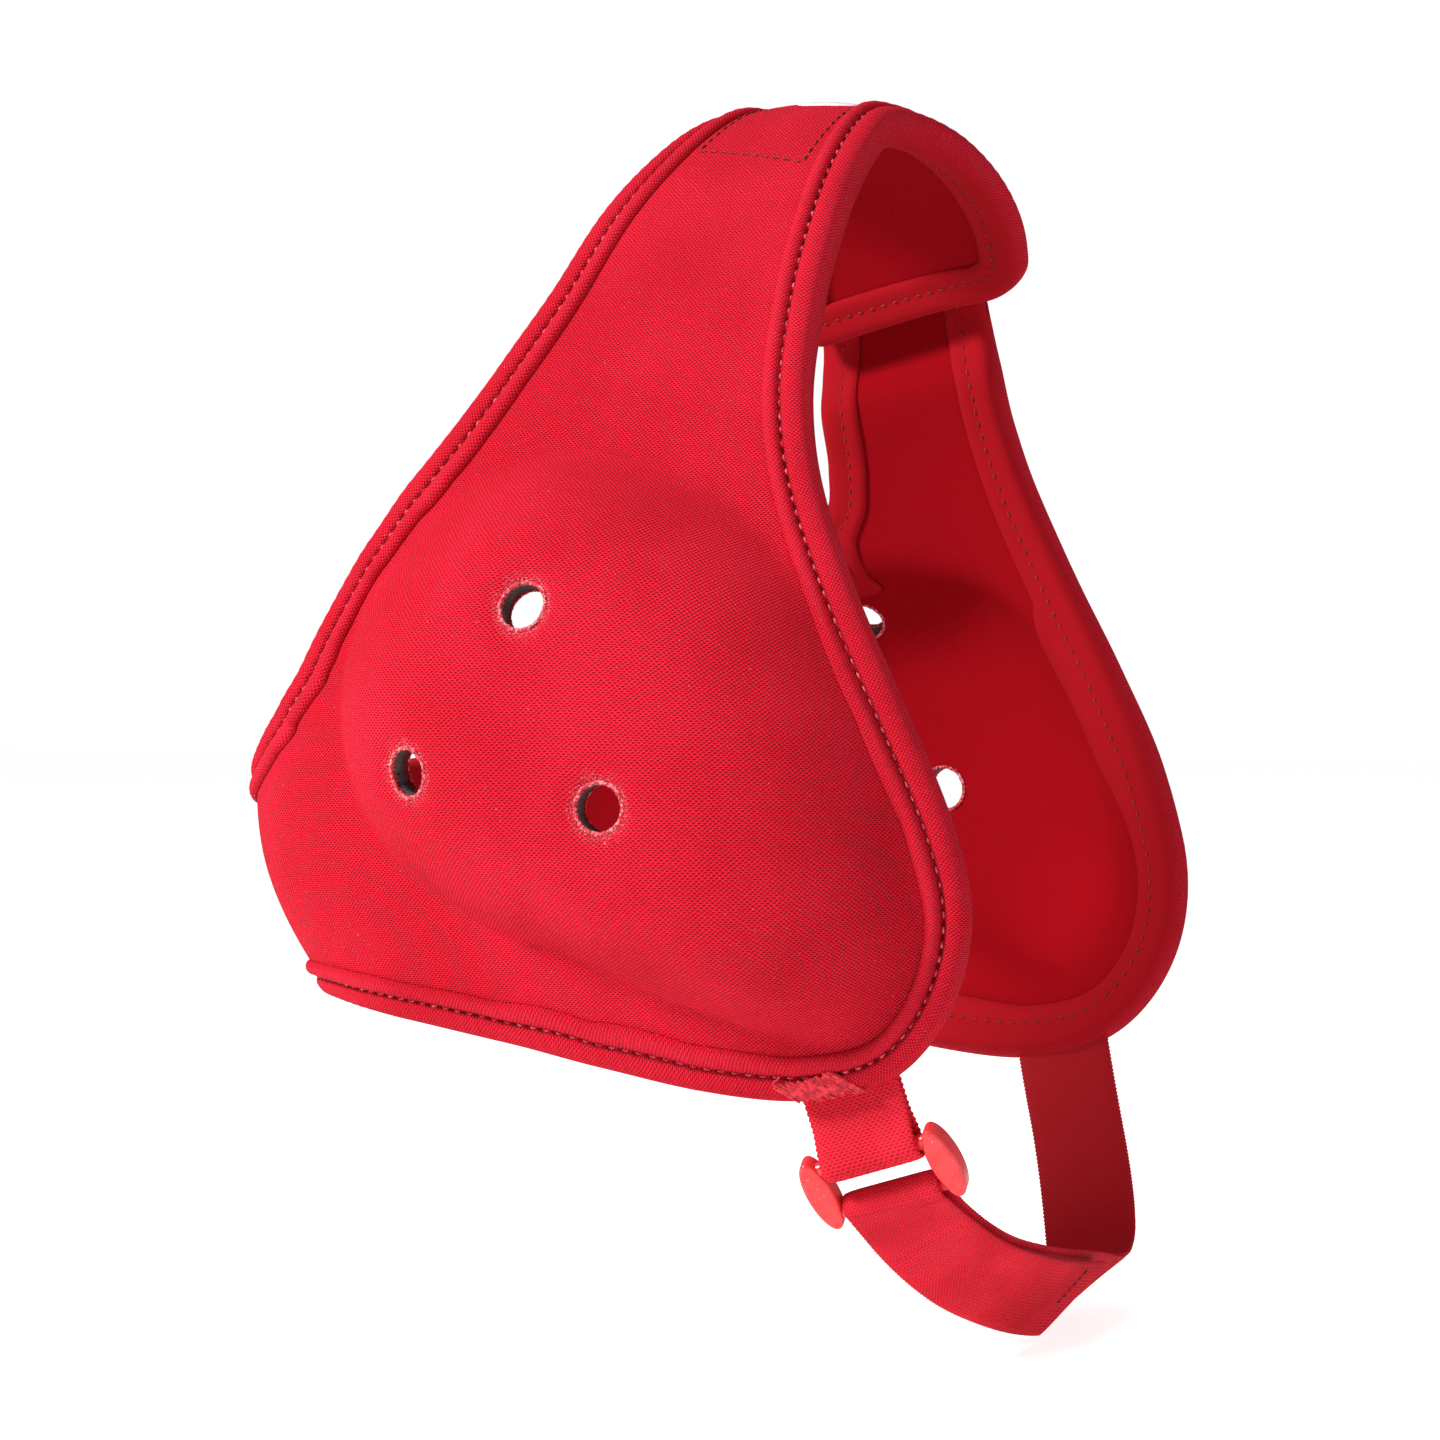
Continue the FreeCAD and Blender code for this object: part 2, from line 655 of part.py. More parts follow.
# The webbing ends are let into the edge of each half.
for half_name, web in (("right", "keeper_webbing"), ("left", "chin_strap")):
    for layer in ("foam", "front_binding"):
        key = half_name + "_" + layer
        NODES[key] = NODES[key].cut(NODES[web])

for name, shape in NODES.items():
    if shape.ShapeType == "Compound" and len(shape.Solids) == 1:
        shape = shape.Solids[0]
    shape.exportStep("parts/%s.step" % name)
    if not shape.isValid() or len(shape.Solids) != 1 or shape.Volume <= 0:
        print("CHECK", name, shape.isValid(), len(shape.Solids), shape.Volume)

hinge = [mirror(Part.Vertex(tab.frame(0.0, v)[0] + tab.frame(0.0, v)[1] * 1.9)).Point
         for v in (0.0, 1.0)]
print("tab hinge", hinge)
print("upper bar", upper_bar, "axis", ACROSS)
p, w, n, t = strap_frame(SPLIT)
print("tail hinge", p + n * 2.4, "axis", w)
print("vents", axes)
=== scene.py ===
"""Water helmet: the soft goods round the CAD frame, their materials and the studio.

Lengths are millimetres until a mesh is made. +Z is up, the wearer looks toward
-Y and the wearer's right is -X, as in the CAD frame. The left half is worked out
on the right and mirrored.
"""
import math

import bmesh
import bpy
import numpy as np
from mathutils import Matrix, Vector


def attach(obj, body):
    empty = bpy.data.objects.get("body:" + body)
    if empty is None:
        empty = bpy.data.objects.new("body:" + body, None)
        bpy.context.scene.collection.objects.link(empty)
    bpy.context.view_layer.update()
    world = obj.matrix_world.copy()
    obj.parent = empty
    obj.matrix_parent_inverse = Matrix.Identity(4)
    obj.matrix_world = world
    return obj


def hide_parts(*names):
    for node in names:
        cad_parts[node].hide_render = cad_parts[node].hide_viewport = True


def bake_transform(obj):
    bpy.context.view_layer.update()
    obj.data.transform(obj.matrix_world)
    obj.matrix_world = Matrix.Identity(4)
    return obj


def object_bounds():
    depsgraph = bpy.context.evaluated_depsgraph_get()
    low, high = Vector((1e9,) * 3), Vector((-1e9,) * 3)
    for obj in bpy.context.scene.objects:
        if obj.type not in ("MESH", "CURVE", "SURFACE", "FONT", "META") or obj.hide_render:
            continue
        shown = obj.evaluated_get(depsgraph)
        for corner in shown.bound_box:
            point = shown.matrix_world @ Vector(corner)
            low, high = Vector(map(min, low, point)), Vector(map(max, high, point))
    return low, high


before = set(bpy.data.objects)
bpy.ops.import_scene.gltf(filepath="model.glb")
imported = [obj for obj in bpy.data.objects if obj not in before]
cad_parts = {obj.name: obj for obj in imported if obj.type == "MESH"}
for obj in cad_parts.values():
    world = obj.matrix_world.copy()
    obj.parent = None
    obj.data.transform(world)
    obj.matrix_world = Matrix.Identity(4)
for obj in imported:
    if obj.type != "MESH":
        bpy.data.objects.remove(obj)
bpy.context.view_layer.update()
rng = np.random.default_rng(7)

# ---------------------------------------------------------------- dimensions
MM = 0.001
HALF_WIDTH, FRONT_DEPTH, BACK_DEPTH = 77.0, 115.0, 99.0
UP_HEIGHT, DOWN_HEIGHT, WIDEST_Z = 162.0, 95.0, -20.0
PLAN_POWER, RISE_POWER = 2.9, 1.88
CENTRE_Y, LEAN_TOP, LEAN_NAPE = 18.0, -0.20, 0.40
COVER, FOAM_IN, WALL = 0.8, 5.2, 6.0
CUP_HEIGHT, CUP_POWER, CUP_FOOT, CUP_CENTRE = 20.0, 3.2, 1.5, (18.0, 4.0)
CUP_RADII = np.array((55, 58, 59, 58, 60, 60.5, 60, 59, 59, 59.5, 60, 61.5,
                      67, 75, 85, 84, 64, 51, 43.5, 42, 42, 43.5, 47, 51))
LEFT_CUP_RADII = np.array((55, 55.5, 51.5, 46.5, 44, 43, 42.5, 44, 48, 54, 58, 61,
                           67, 75, 85, 84, 64, 51, 43.5, 42, 42, 43.5, 47, 51))
VENTS = ((20.7, 29.4), (46.0, -3.3), (1.0, -9.5))
LEFT_VENTS = ((19.5, 31.5), (45.0, -3.5), (2.4, -9.8))
VENT_R, DIMPLE_R, DIMPLE_DEPTH = 5.0, 11.0, 2.6
WEB_W, WEB_T, BAR_R = 22.0, 1.4, 1.7
RING_PITCH = 10.8
STITCH_PITCH, STITCH_LENGTH, THREAD_R = 3.1, 1.5, 0.25
FINE_STITCH = {"pitch": 2.7, "length": 1.9, "radius": 0.22}

# Pairs of points on the two long edges: rear/top, then front/bottom.
RIGHT = (
    ((49, 19, 88), (44, -38, 107)),
    ((34, 16, 113), (32, -40, 120)),
    ((16, 15.5, 132), (14, -35, 132.5)),
    ((-3, 15, 140), (-4, -27.5, 136)),
    ((-20, 20, 134), (-22, -26, 126)),
    ((-36, 28.5, 120), (-38, -26, 112)),
    ((-48, 35.3, 101.8), (-49, -26, 94)),
    ((-55, 44.3, 86), (-58, -27.5, 74)),
    ((-59, 52.4, 75), (-63, -32.4, 55)),
    ((-61, 59.6, 66), (-65.5, -41.4, 33)),
    ((-62, 66, 59), (-66.5, -52.2, 12)),
    ((-63, 71.6, 51.8), (-65.5, -62.3, -10)),
    ((-63, 75.6, 45.7), (-65, -67, -30)),
    ((-63.5, 79.5, 39.5), (-64.5, -62, -50)),
    ((-63.5, 82.9, 33.3), (-63.5, -49, -64)),
    ((-63, 85.7, 28), (-63.5, -30, -68.2)),
    ((-62.5, 88, 23.4), (-65, -8, -66.8)),
    ((-62, 90.8, 18.7), (-67, 14, -62.6)),
    ((-60, 94.6, 13.6), (-67, 35, -57.4)),
    ((-57, 98.4, 8.2), (-63, 58, -53)),
    ((-48, 104.5, 1), (-51, 80, -49.3)),
    ((-30, 112, -3), (-30, 90, -48)),
    ((0, 116, -4), (0, 93, -48)),
)
# The tab that closes over the crown strap, from its free end: edge points, then
# how far its outer and inner faces stand off the head form.
TAB = (
    ((-32.5, 14, 111), (-29, -20, 119.5), 7.1, 3.1),
    ((-39, 15, 103), (-35.5, -20.5, 113), 7.1, 3.1),
    ((-44.5, 15.5, 94.5), (-41, -20.5, 106), 7.1, 3.1),
    ((-49.5, 15.8, 85.5), (-46, -21, 98), 6.8, 2.8),
    ((-52.5, 15.8, 80), (-49.5, -23, 92), 3.4, -1.4),
)
LEFT = (
    ((-55, 15.5, 74), (-53, -25.5, 86)),
    ((-59, 15.5, 62), (-58.5, -27, 73)),
    ((-62, 18, 52), (-62.5, -31, 57)),
    ((-64, 31, 46.5), (-65, -38.8, 37)),
    ((-64.5, 44, 43), (-66.5, -49.5, 18)),
    ((-64.5, 56, 39.5), (-66, -60.8, -3)),
    ((-64.5, 65, 36), (-65, -66.2, -25)),
    ((-64, 72, 32), (-64.5, -63.2, -46)),
    ((-63.5, 78, 28.5), (-63.5, -50.4, -62.4)),
    ((-62.5, 83, 25), (-63.5, -31, -68.2)),
    ((-61.5, 88, 20), (-65, -8, -67)),
    ((-60, 92, 15.5), (-67, 14, -62.8)),
    ((-58.5, 95.5, 11.5), (-67, 35, -57.6)),
    ((-55.5, 99.5, 7), (-63, 58, -53.2)),
    ((-47.5, 105, 1), (-51, 80, -49.4)),
    ((-30, 112, -3), (-30, 90, -48)),
    ((0, 116, -4), (0, 93, -48)),
)


# ---------------------------------------------------------------- vectors, splines
def unit(v):
    return v / np.linalg.norm(v, axis=-1, keepdims=True)


def dot(a, b):
    return np.sum(a * b, axis=-1, keepdims=True)


def spline(a, b, c, d, t):
    """Catmull-Rom between b and c."""
    return ((b * 2) + (c - a) * t + (a * 2 - b * 5 + c * 4 - d) * (t * t)
            + (b * 3 - a - c * 3 + d) * (t * t * t)) * 0.5


def along(values, t):
    """Spline through an open list of values at stations t."""
    values, t = np.asarray(values, float), np.asarray(t, float)
    run = np.concatenate([[2 * values[0] - values[1]], values, [2 * values[-1] - values[-2]]])
    i = np.clip(t.astype(int), 0, len(values) - 2)
    part = t - i
    return spline(run[i], run[i + 1], run[i + 2], run[i + 3],
                  part[..., None] if values.ndim > 1 else part)


def lengths(points):
    """Distance along a line of points, from its start."""
    return np.concatenate([[0.0], np.cumsum(np.linalg.norm(np.diff(points, axis=0), axis=1))])


def evenly(points, step, *others):
    """Resamples a line of points, and lists that go with it, at an even spacing."""
    run = lengths(points)
    at = np.linspace(0.0, run[-1], max(int(round(run[-1] / step)), 2) + 1)
    return [np.stack([np.interp(at, run, col) for col in np.asarray(v, float).T], -1)
            for v in (points, *others)]


# ---------------------------------------------------------------- head form
def centre_y(z):
    t = z + 10.0
    bend = np.sqrt(t * t + 625.0) - 25.0
    return CENTRE_Y + (LEAN_NAPE + LEAN_TOP) / 2 * t - (LEAN_NAPE - LEAN_TOP) / 2 * bend


def head_value(p):
    """Below zero inside the head form, above zero outside."""
    x, y, z = p[..., 0], p[..., 1], p[..., 2]
    dy = y - centre_y(z)
    depth = np.where(dy < 0, FRONT_DEPTH, BACK_DEPTH)
    plan = np.abs(x / HALF_WIDTH) ** PLAN_POWER + np.abs(dy / depth) ** PLAN_POWER
    rise = np.abs((z - WIDEST_Z) / np.where(z > WIDEST_Z, UP_HEIGHT, DOWN_HEIGHT))
    return plan ** (RISE_POWER / PLAN_POWER) + rise ** RISE_POWER - 1.0


def head_point(d):
    """Points of the head form in directions d from the origin."""
    low, high = np.full(d.shape[:-1], 30.0), np.full(d.shape[:-1], 200.0)
    for _ in range(30):
        mid = (low + high) / 2
        inside = head_value(d * mid[..., None]) < 0
        low, high = np.where(inside, mid, low), np.where(inside, high, mid)
    return d * low[..., None]


def head_normal(p):
    e = 0.05
    return unit(np.stack([head_value(p + e * a) - head_value(p - e * a) for a in np.eye(3)], -1))


def cup_rise(p, radii):
    """Height of the ear cup above the head form."""
    dy, dz = p[..., 1] - CUP_CENTRE[0], p[..., 2] - CUP_CENTRE[1]
    turn = (np.degrees(np.arctan2(dz, dy)) % 360.0) / 15.0
    i = turn.astype(int)
    edge = spline(*[radii[(i + k) % 24] for k in (-1, 0, 1, 2)], turn - i)
    h = CUP_HEIGHT * (1 - (np.hypot(dy, dz) / edge) ** CUP_POWER)
    return np.where(h > CUP_FOOT, h, np.maximum(h + CUP_FOOT, 0) ** 2 / (4 * CUP_FOOT))


def dimple(p, vents):
    """Depth of the moulded dimples round the vents."""
    depth = 0.0
    for vy, vz in vents:
        r = np.hypot(p[..., 1] - vy, p[..., 2] - vz) / DIMPLE_R
        depth = depth + np.where(r < 1, DIMPLE_DEPTH * np.cos(np.minimum(r, 1) * np.pi / 2) ** 2, 0)
    return depth


def vent_axes(panel):
    """Point and outward direction of each vent."""
    radii = panel.radii

    def lifted(p):
        q = head_point(unit(p))
        return q + head_normal(q) * cup_rise(q, radii)[..., None]

    axes = []
    for y, z in panel.vents:
        p = np.array((-75.0, y, z))
        for _ in range(6):
            q = head_point(unit(p))
            p = np.array((q[0], y, z))
        a = lifted(q)
        up, out = np.array((0, 0, 3.0)), np.array((0, 3.0, 0))
        n = unit(np.cross(lifted(q + out) - lifted(q - out), lifted(q + up) - lifted(q - up)))
        axes.append((a, -n if n[0] > 0 else n))
    return axes


class Panel:
    """A ribbon of shell between its rear/top edge (v = 0) and front edge (v = 1)."""

    def __init__(self, stations, radii, vents, stands=None, corner=9.0):
        self.rear = unit(np.array([s[0] for s in stations], float))
        self.front = unit(np.array([s[1] for s in stations], float))
        self.radii, self.vents, self.stands = radii, vents, stands
        self.last = len(stations) - 1.0
        ends = self.face(np.array([0.0, 0.25, 0, 0]), np.array([0.5, 0.5, 0, 1]))
        self.reach = np.linalg.norm(ends[1] - ends[0]) / 0.25
        self.width = np.linalg.norm(ends[3] - ends[2])
        self.corner = corner

    def face(self, u, v, dimpled=False):
        """Points of the outer face."""
        a, b = unit(along(self.rear, u)), unit(along(self.front, u))
        turn = np.arccos(np.clip(dot(a, b), -1, 1))
        v = np.asarray(v, float)[..., None]
        p = head_point(unit(a * np.sin((1 - v) * turn) + b * np.sin(v * turn)))
        if self.radii is None:
            return p
        h = cup_rise(p, self.radii)
        if dimpled:
            h = h - dimple(p, self.vents)
        return p + head_normal(p) * h[..., None]

    def slopes(self, u, v, dimpled=False):
        """How the face moves with u and with v."""
        u1, u2 = np.maximum(u - 0.02, 0.0), np.minimum(u + 0.02, self.last)
        v1, v2 = np.maximum(v - 0.006, -0.02), np.minimum(v + 0.006, 1.02)
        du = (self.face(u2, v, dimpled) - self.face(u1, v, dimpled)) / (u2 - u1)[..., None]
        dv = (self.face(u, v2, dimpled) - self.face(u, v1, dimpled)) / (v2 - v1)[..., None]
        return du, dv

    def frame(self, u, v, dimpled=False):
        """Outer points, outward normals and slopes."""
        p = self.face(u, v, dimpled)
        du, dv = self.slopes(u, v, dimpled)
        n = unit(np.cross(dv, du))
        n = np.where(dot(n, p) < 0, -n, n)
        middle = np.abs(p[..., 0]) < 1e-6
        n[middle, 0] = 0.0
        return p, unit(n), du, dv

    def stand(self, u, h):
        """Height over the head form of a height h measured from the outer face."""
        if self.stands is None:
            return h
        outer, inner = (along(s, u) for s in self.stands)
        return np.where(h > -3.0, outer + h, inner + WALL + h)

    def at(self, u, v, h, dimpled=False):
        """Points at height h over the outer face, and the normals there."""
        p, n, _, _ = self.frame(u, v, dimpled)
        return p + n * self.stand(u, h)[..., None] if np.ndim(self.stand(u, h)) else p + n * h, n

    def inset(self, u):
        """Share of the width cut from each side by the rounded corners of the end."""
        x = np.minimum(u * self.reach, self.corner)
        return (self.corner - np.sqrt(self.corner ** 2 - (self.corner - x) ** 2)) / self.width

    def rows(self, per_station):
        """Stations of the grid, closer together where the corners are rounded."""
        arc = self.corner * (1 - np.cos(np.radians(np.arange(0, 90, 9.0)))) / self.reach
        first = self.corner / self.reach
        count = int((self.last - first) * per_station)
        return np.concatenate([arc, np.linspace(first, self.last, count + 1)])

    def grid(self, per_station, across):
        us, ks = self.rows(per_station), np.linspace(0, 1, across)
        u, k = np.meshgrid(us, ks, indexing="ij")
        cut = self.inset(u)
        return u, cut + (1 - 2 * cut) * k

    def offset(self, u, v, move):
        """Stations reached by moving along the face by the vector move."""
        du, dv = self.slopes(u, v)
        a, b, c = dot(du, du)[..., 0], dot(du, dv)[..., 0], dot(dv, dv)[..., 0]
        x, y = dot(du, move)[..., 0], dot(dv, move)[..., 0]
        det = a * c - b * b
        return u + (x * c - y * b) / det, v + (y * a - x * b) / det

    def border(self, step):
        """Stations down the whole edge: rear edge, rounded end, front edge."""
        turn = np.radians(np.linspace(90, 0, 25))
        cu = self.corner * (1 - np.cos(turn)) / self.reach
        cv = self.corner * (1 - np.sin(turn)) / self.width
        long = np.linspace(self.last, cu[0], int(self.last * 12))[:-1]
        end = np.linspace(cv[-1], 1 - cv[-1], 30)[1:-1]
        u = np.concatenate([long, cu, 0 * end, cu[::-1], long[::-1]])
        v = np.concatenate([0 * long, cv, end, 1 - cv[::-1], 0 * long + 1])
        p = self.face(u, v)
        _, uv = evenly(p, step, np.stack([u, v], -1))
        return uv[:, 0], uv[:, 1]


right = Panel(RIGHT, CUP_RADII, VENTS)
stands = [[t[k] for t in TAB] + [base] * len(LEFT) for k, base in ((2, 0.0), (3, -WALL))]
left = Panel([t[:2] for t in TAB] + list(LEFT), LEFT_CUP_RADII, LEFT_VENTS, stands, 7.0)


# ---------------------------------------------------------------- meshes
def grid_faces(rows, cols, ring=False):
    """Quads of a grid of points; ring closes each row."""
    i, j = np.meshgrid(np.arange(rows - 1), np.arange(cols - (not ring)), indexing="ij")
    k = (j + 1) % cols
    quads = [i * cols + j, i * cols + k, (i + 1) * cols + k, (i + 1) * cols + j]
    return np.stack(quads, -1).reshape(-1, 4)


def tube_faces(rows, cols):
    """Quads round a closed tube, and a face at each end."""
    faces = grid_faces(rows, cols, ring=True).tolist()
    return faces + [list(range(cols))[::-1], [(rows - 1) * cols + i for i in range(cols)]]


def mesh(name, points, faces, material, uv=None, marks=None, mirrored=False):
    """A smooth mesh object from millimetre points, with UVs and point attributes."""
    points = np.array(points, float).reshape(-1, 3) * MM
    if mirrored:
        points[:, 0] *= -1
    me = bpy.data.meshes.new(name)
    me.from_pydata(points.tolist(), [], [[int(i) for i in f] for f in faces])
    bm = bmesh.new()
    bm.from_mesh(me)
    bmesh.ops.recalc_face_normals(bm, faces=bm.faces)
    bm.to_mesh(me)
    bm.free()
    me.polygons.foreach_set("use_smooth", np.ones(len(me.polygons), bool))
    if uv is not None:
        which = np.zeros(len(me.loops), int)
        me.loops.foreach_get("vertex_index", which)
        layer = me.uv_layers.new(name="cloth")
        layer.data.foreach_set("uv", np.asarray(uv, float).reshape(-1, 2)[which].ravel())
    for key, values in (marks or {}).items():
        mark = me.attributes.new(key, "FLOAT", "POINT")
        mark.data.foreach_set("value", np.asarray(values, np.float32).ravel())
    if material:
        me.materials.append(material)
    obj = bpy.data.objects.new(name, me)
    bpy.context.scene.collection.objects.link(obj)
    return obj


def thick(outer, inner, faces):
    """Closed solid between two sheets that share their faces."""
    outer, inner = np.reshape(outer, (-1, 3)), np.reshape(inner, (-1, 3))
    n = len(outer)
    a, b = faces.ravel(), np.roll(faces, -1, axis=1).ravel()
    rim = ~np.isin(a * n + b, b * n + a)
    walls = np.stack([b[rim], a[rim], a[rim] + n, b[rim] + n], -1)
    return np.concatenate([outer, inner]), np.concatenate([faces, faces[:, ::-1] + n, walls])


def join(parts):
    """One list of points and faces from several."""
    points, faces, base = [], [], 0
    for p, f in parts:
        points.append(np.reshape(p, (-1, 3)))
        faces += [[int(i) + base for i in q] for q in f]
        base += len(points[-1])
    return np.concatenate(points), faces


def circle(count):
    """Angles evenly round a circle."""
    return np.linspace(0, 2 * np.pi, count, endpoint=False)


def tube(line, radius, sides=8):
    """Round thread along a line of points, with closed ends."""
    line = np.asarray(line, float)
    t = unit(np.gradient(line, axis=0))
    up = np.cross(t[0], (0.3, 0.5, 0.81))
    turn = circle(sides)
    rings = []
    for k, p in enumerate(line):
        up = unit(up - t[k] * np.dot(up, t[k]))
        side = np.cross(t[k], up)
        r = radius[k] if np.ndim(radius) else radius
        rings.append(p + r * (np.cos(turn)[:, None] * up + np.sin(turn)[:, None] * side))
    return np.concatenate(rings), tube_faces(len(line), sides)


def stitches(line, normals, pitch=STITCH_PITCH, length=STITCH_LENGTH, radius=THREAD_R,
             start=0.5):
    """Run stitches along a line: a short arched thread in each pitch."""
    run = lengths(line)
    centres = np.arange(start * pitch, run[-1] - pitch / 2, pitch)

    def pick(values, at):
        return np.stack([np.interp(at, run, c) for c in np.asarray(values).T], -1)

    rows, sides = 7, 6
    steps = np.linspace(-0.5, 0.5, rows)
    turn = circle(sides)
    at = centres[:, None] + steps * length
    mid, n = pick(line, at.ravel()), unit(pick(normals, at.ravel()))
    t = unit(pick(line, at.ravel() + 0.2) - pick(line, at.ravel() - 0.2))
    side = np.cross(t, n)
    arch = np.tile(0.16 - 1.9 * steps ** 2 * 0.55, len(centres))[:, None]
    thin = np.tile(radius * (1 - 1.7 * np.abs(steps) ** 3 * 2), len(centres))
    twist = 0.12 * radius * np.tile(np.cos(steps * 26), len(centres))
    rings = (mid + n * arch)[:, None] + (thin + twist)[:, None, None] * (
        np.cos(turn)[None, :, None] * n[:, None] + np.sin(turn)[None, :, None] * side[:, None])
    faces = [[k * rows * sides + i for i in face] for k in range(len(centres))
             for face in tube_faces(rows, sides)]
    return rings.reshape(-1, 3), faces


def unwrapped(points, faces):
    """Sheet laid flat with its angles kept, at its own area, ear side up."""
    obj = mesh("flat_cut", points, faces, None, np.zeros((points.size // 3, 2)))
    bpy.context.view_layer.objects.active = obj
    obj.select_set(True)
    bpy.ops.object.mode_set(mode="EDIT")
    bpy.ops.mesh.select_all(action="SELECT")
    bpy.ops.uv.unwrap(method="ANGLE_BASED", margin=0.0)
    bpy.ops.object.mode_set(mode="OBJECT")
    me = obj.data
    which, found = np.zeros(len(me.loops), int), np.zeros(len(me.loops) * 2)
    me.loops.foreach_get("vertex_index", which)
    me.uv_layers["cloth"].data.foreach_get("uv", found)
    flat = np.zeros((len(me.vertices), 2))
    flat[which] = found.reshape(-1, 2)
    area = sum(poly.area for poly in me.polygons)
    bpy.data.meshes.remove(me)
    flat *= math.sqrt(area / MM ** 2 / (flat_size(flat, faces)[1] / MM ** 2))
    # Turn the cut so that the knit stands upright over the ear.
    ear = np.linalg.norm(points.reshape(-1, 3) - (-95.0, 18.0, 0.0), axis=1) < 30
    fit = np.column_stack([points.reshape(-1, 3)[ear][:, 1:], np.ones(ear.sum())])
    x, y = np.linalg.lstsq(fit, flat[ear], rcond=None)[0][1]
    size = math.hypot(x, y)
    turned = np.stack([flat[:, 0] * y - flat[:, 1] * x, flat[:, 0] * x + flat[:, 1] * y], -1) / size
    return turned.reshape(*points.shape[:2], 2)


def flat_places(panel, u, v, per_station=3, across=17):
    """Places on the flat cut of stations of a panel."""
    gu, gv = panel.grid(per_station, across)
    flat = unwrapped(panel.at(gu, gv, 0.0)[0], grid_faces(*gu.shape))
    cut = panel.inset(u)
    row = np.interp(u, gu[:, 0], np.arange(len(gu)))
    col = np.clip((v - cut) / (1 - 2 * cut), 0, 1) * (across - 1)
    i = np.minimum(row.astype(int), len(gu) - 2)
    j = np.minimum(col.astype(int), across - 2)
    a, b = (row - i)[..., None], (col - j)[..., None]
    return ((1 - a) * ((1 - b) * flat[i, j] + b * flat[i, j + 1])
            + a * ((1 - b) * flat[i + 1, j] + b * flat[i + 1, j + 1]))


def flat_size(uv, faces):
    """Width, length and area of the flat cut, in metres."""
    uv = uv.reshape(-1, 2) * MM
    q = uv[faces]
    cross = 0.5 * ((q[:, 2, 0] - q[:, 0, 0]) * (q[:, 3, 1] - q[:, 1, 1])
                   - (q[:, 2, 1] - q[:, 0, 1]) * (q[:, 3, 0] - q[:, 1, 0]))
    area = abs(cross.sum())
    best = None
    for turn in np.radians(np.arange(0, 90, 3.0)):
        x = uv[:, 0] * math.cos(turn) - uv[:, 1] * math.sin(turn)
        y = uv[:, 0] * math.sin(turn) + uv[:, 1] * math.cos(turn)
        size = (np.ptp(x), np.ptp(y))
        if best is None or size[0] * size[1] < best[0] * best[1]:
            best = size
    return best, area


# ---------------------------------------------------------------- materials
def srgb(r, g, b):
    """Linear colour from 0-255 values."""
    return tuple((c / 255 / 12.92) if c <= 10 else ((c / 255 + 0.055) / 1.055) ** 2.4
                 for c in (r, g, b)) + (1.0,)


WHITE = (1.0, 1.0, 1.0, 1.0)


class Shade:
    """A node material, built step by step."""

    def __init__(self, name, roughness=0.8, specular=0.3, sheen=0.0, sheen_tint=WHITE, coat=0.0):
        self.material = bpy.data.materials.new(name)
        self.material.use_nodes = True
        self.tree = self.material.node_tree
        self.bsdf = self.tree.nodes["Principled BSDF"]
        self.feed(self.bsdf, {"Roughness": roughness, "Specular IOR Level": specular,
                              "Sheen Weight": sheen, "Sheen Roughness": 0.45,
                              "Sheen Tint": sheen_tint, "Coat Weight": coat,
                              "Coat Roughness": 0.12})

    def feed(self, node, inputs):
        """Sets a node's inputs, or links them where the value is another node's output."""
        for key, value in dict(inputs).items():
            if isinstance(value, bpy.types.NodeSocket):
                self.tree.links.new(value, node.inputs[key])
            else:
                node.inputs[key].default_value = value

    def node(self, kind, inputs=(), **settings):
        n = self.tree.nodes.new("ShaderNode" + kind)
        for key, value in settings.items():
            setattr(n, key, value)
        self.feed(n, inputs)
        return n

    def math(self, operation, *values, clamp=False):
        return self.node("Math", enumerate(values), operation=operation,
                         use_clamp=clamp).outputs[0]

    def times(self, a, b):
        return self.math("MULTIPLY", a, b)

    def plus(self, a, b):
        return self.math("ADD", a, b)

    def smooth(self, value, low, high):
        """0 below low, 1 above high."""
        n = self.node("MapRange", {0: value, 1: low, 2: high}, interpolation_type="SMOOTHSTEP")
        return n.outputs[0]

    def mix(self, share, a, b):
        return self.node("Mix", {0: share, 6: a, 7: b}, data_type="RGBA").outputs[2]

    def noise(self, scale, detail=2.0, vector=None):
        """Noise with features about 1/scale metres (or millimetres on cloth UVs)."""
        if vector is None:
            vector = self.node("TexCoord").outputs["Object"]
        return self.node("TexNoise", {"Vector": vector, "Scale": scale, "Detail": detail}).outputs[0]

    def mark(self, name):
        return self.node("Attribute", attribute_name=name).outputs["Fac"]

    def cloth(self):
        """The flat cut's two coordinates, in millimetres."""
        uv = self.node("UVMap", uv_map="cloth").outputs[0]
        split = self.node("SeparateXYZ", {0: uv})
        return uv, split.outputs[0], split.outputs[1]

    def cells(self, x, y, wide, high):
        """Staggered cells of a knit or weave: distance from the middle of each cell."""
        row = self.math("FLOOR", self.math("DIVIDE", y, high))
        odd = self.times(self.math("FLOORED_MODULO", row, 2.0), 0.5)
        fx = self.math("SUBTRACT", self.math("FRACT", self.plus(self.math(
            "DIVIDE", x, wide), odd)), 0.5)
        fy = self.math("SUBTRACT", self.math("FRACT", self.math("DIVIDE", y, high)), 0.5)
        return self.math("POWER", self.plus(self.times(fx, fx),
                                            self.times(fy, fy)), 0.5)

    def bump(self, height, distance, strength=1.0):
        n = self.node("Bump", {"Strength": strength, "Distance": distance, "Height": height})
        self.tree.links.new(n.outputs[0], self.bsdf.inputs["Normal"])

    def colour(self, value):
        self.tree.links.new(value, self.bsdf.inputs["Base Color"])
        return self.material


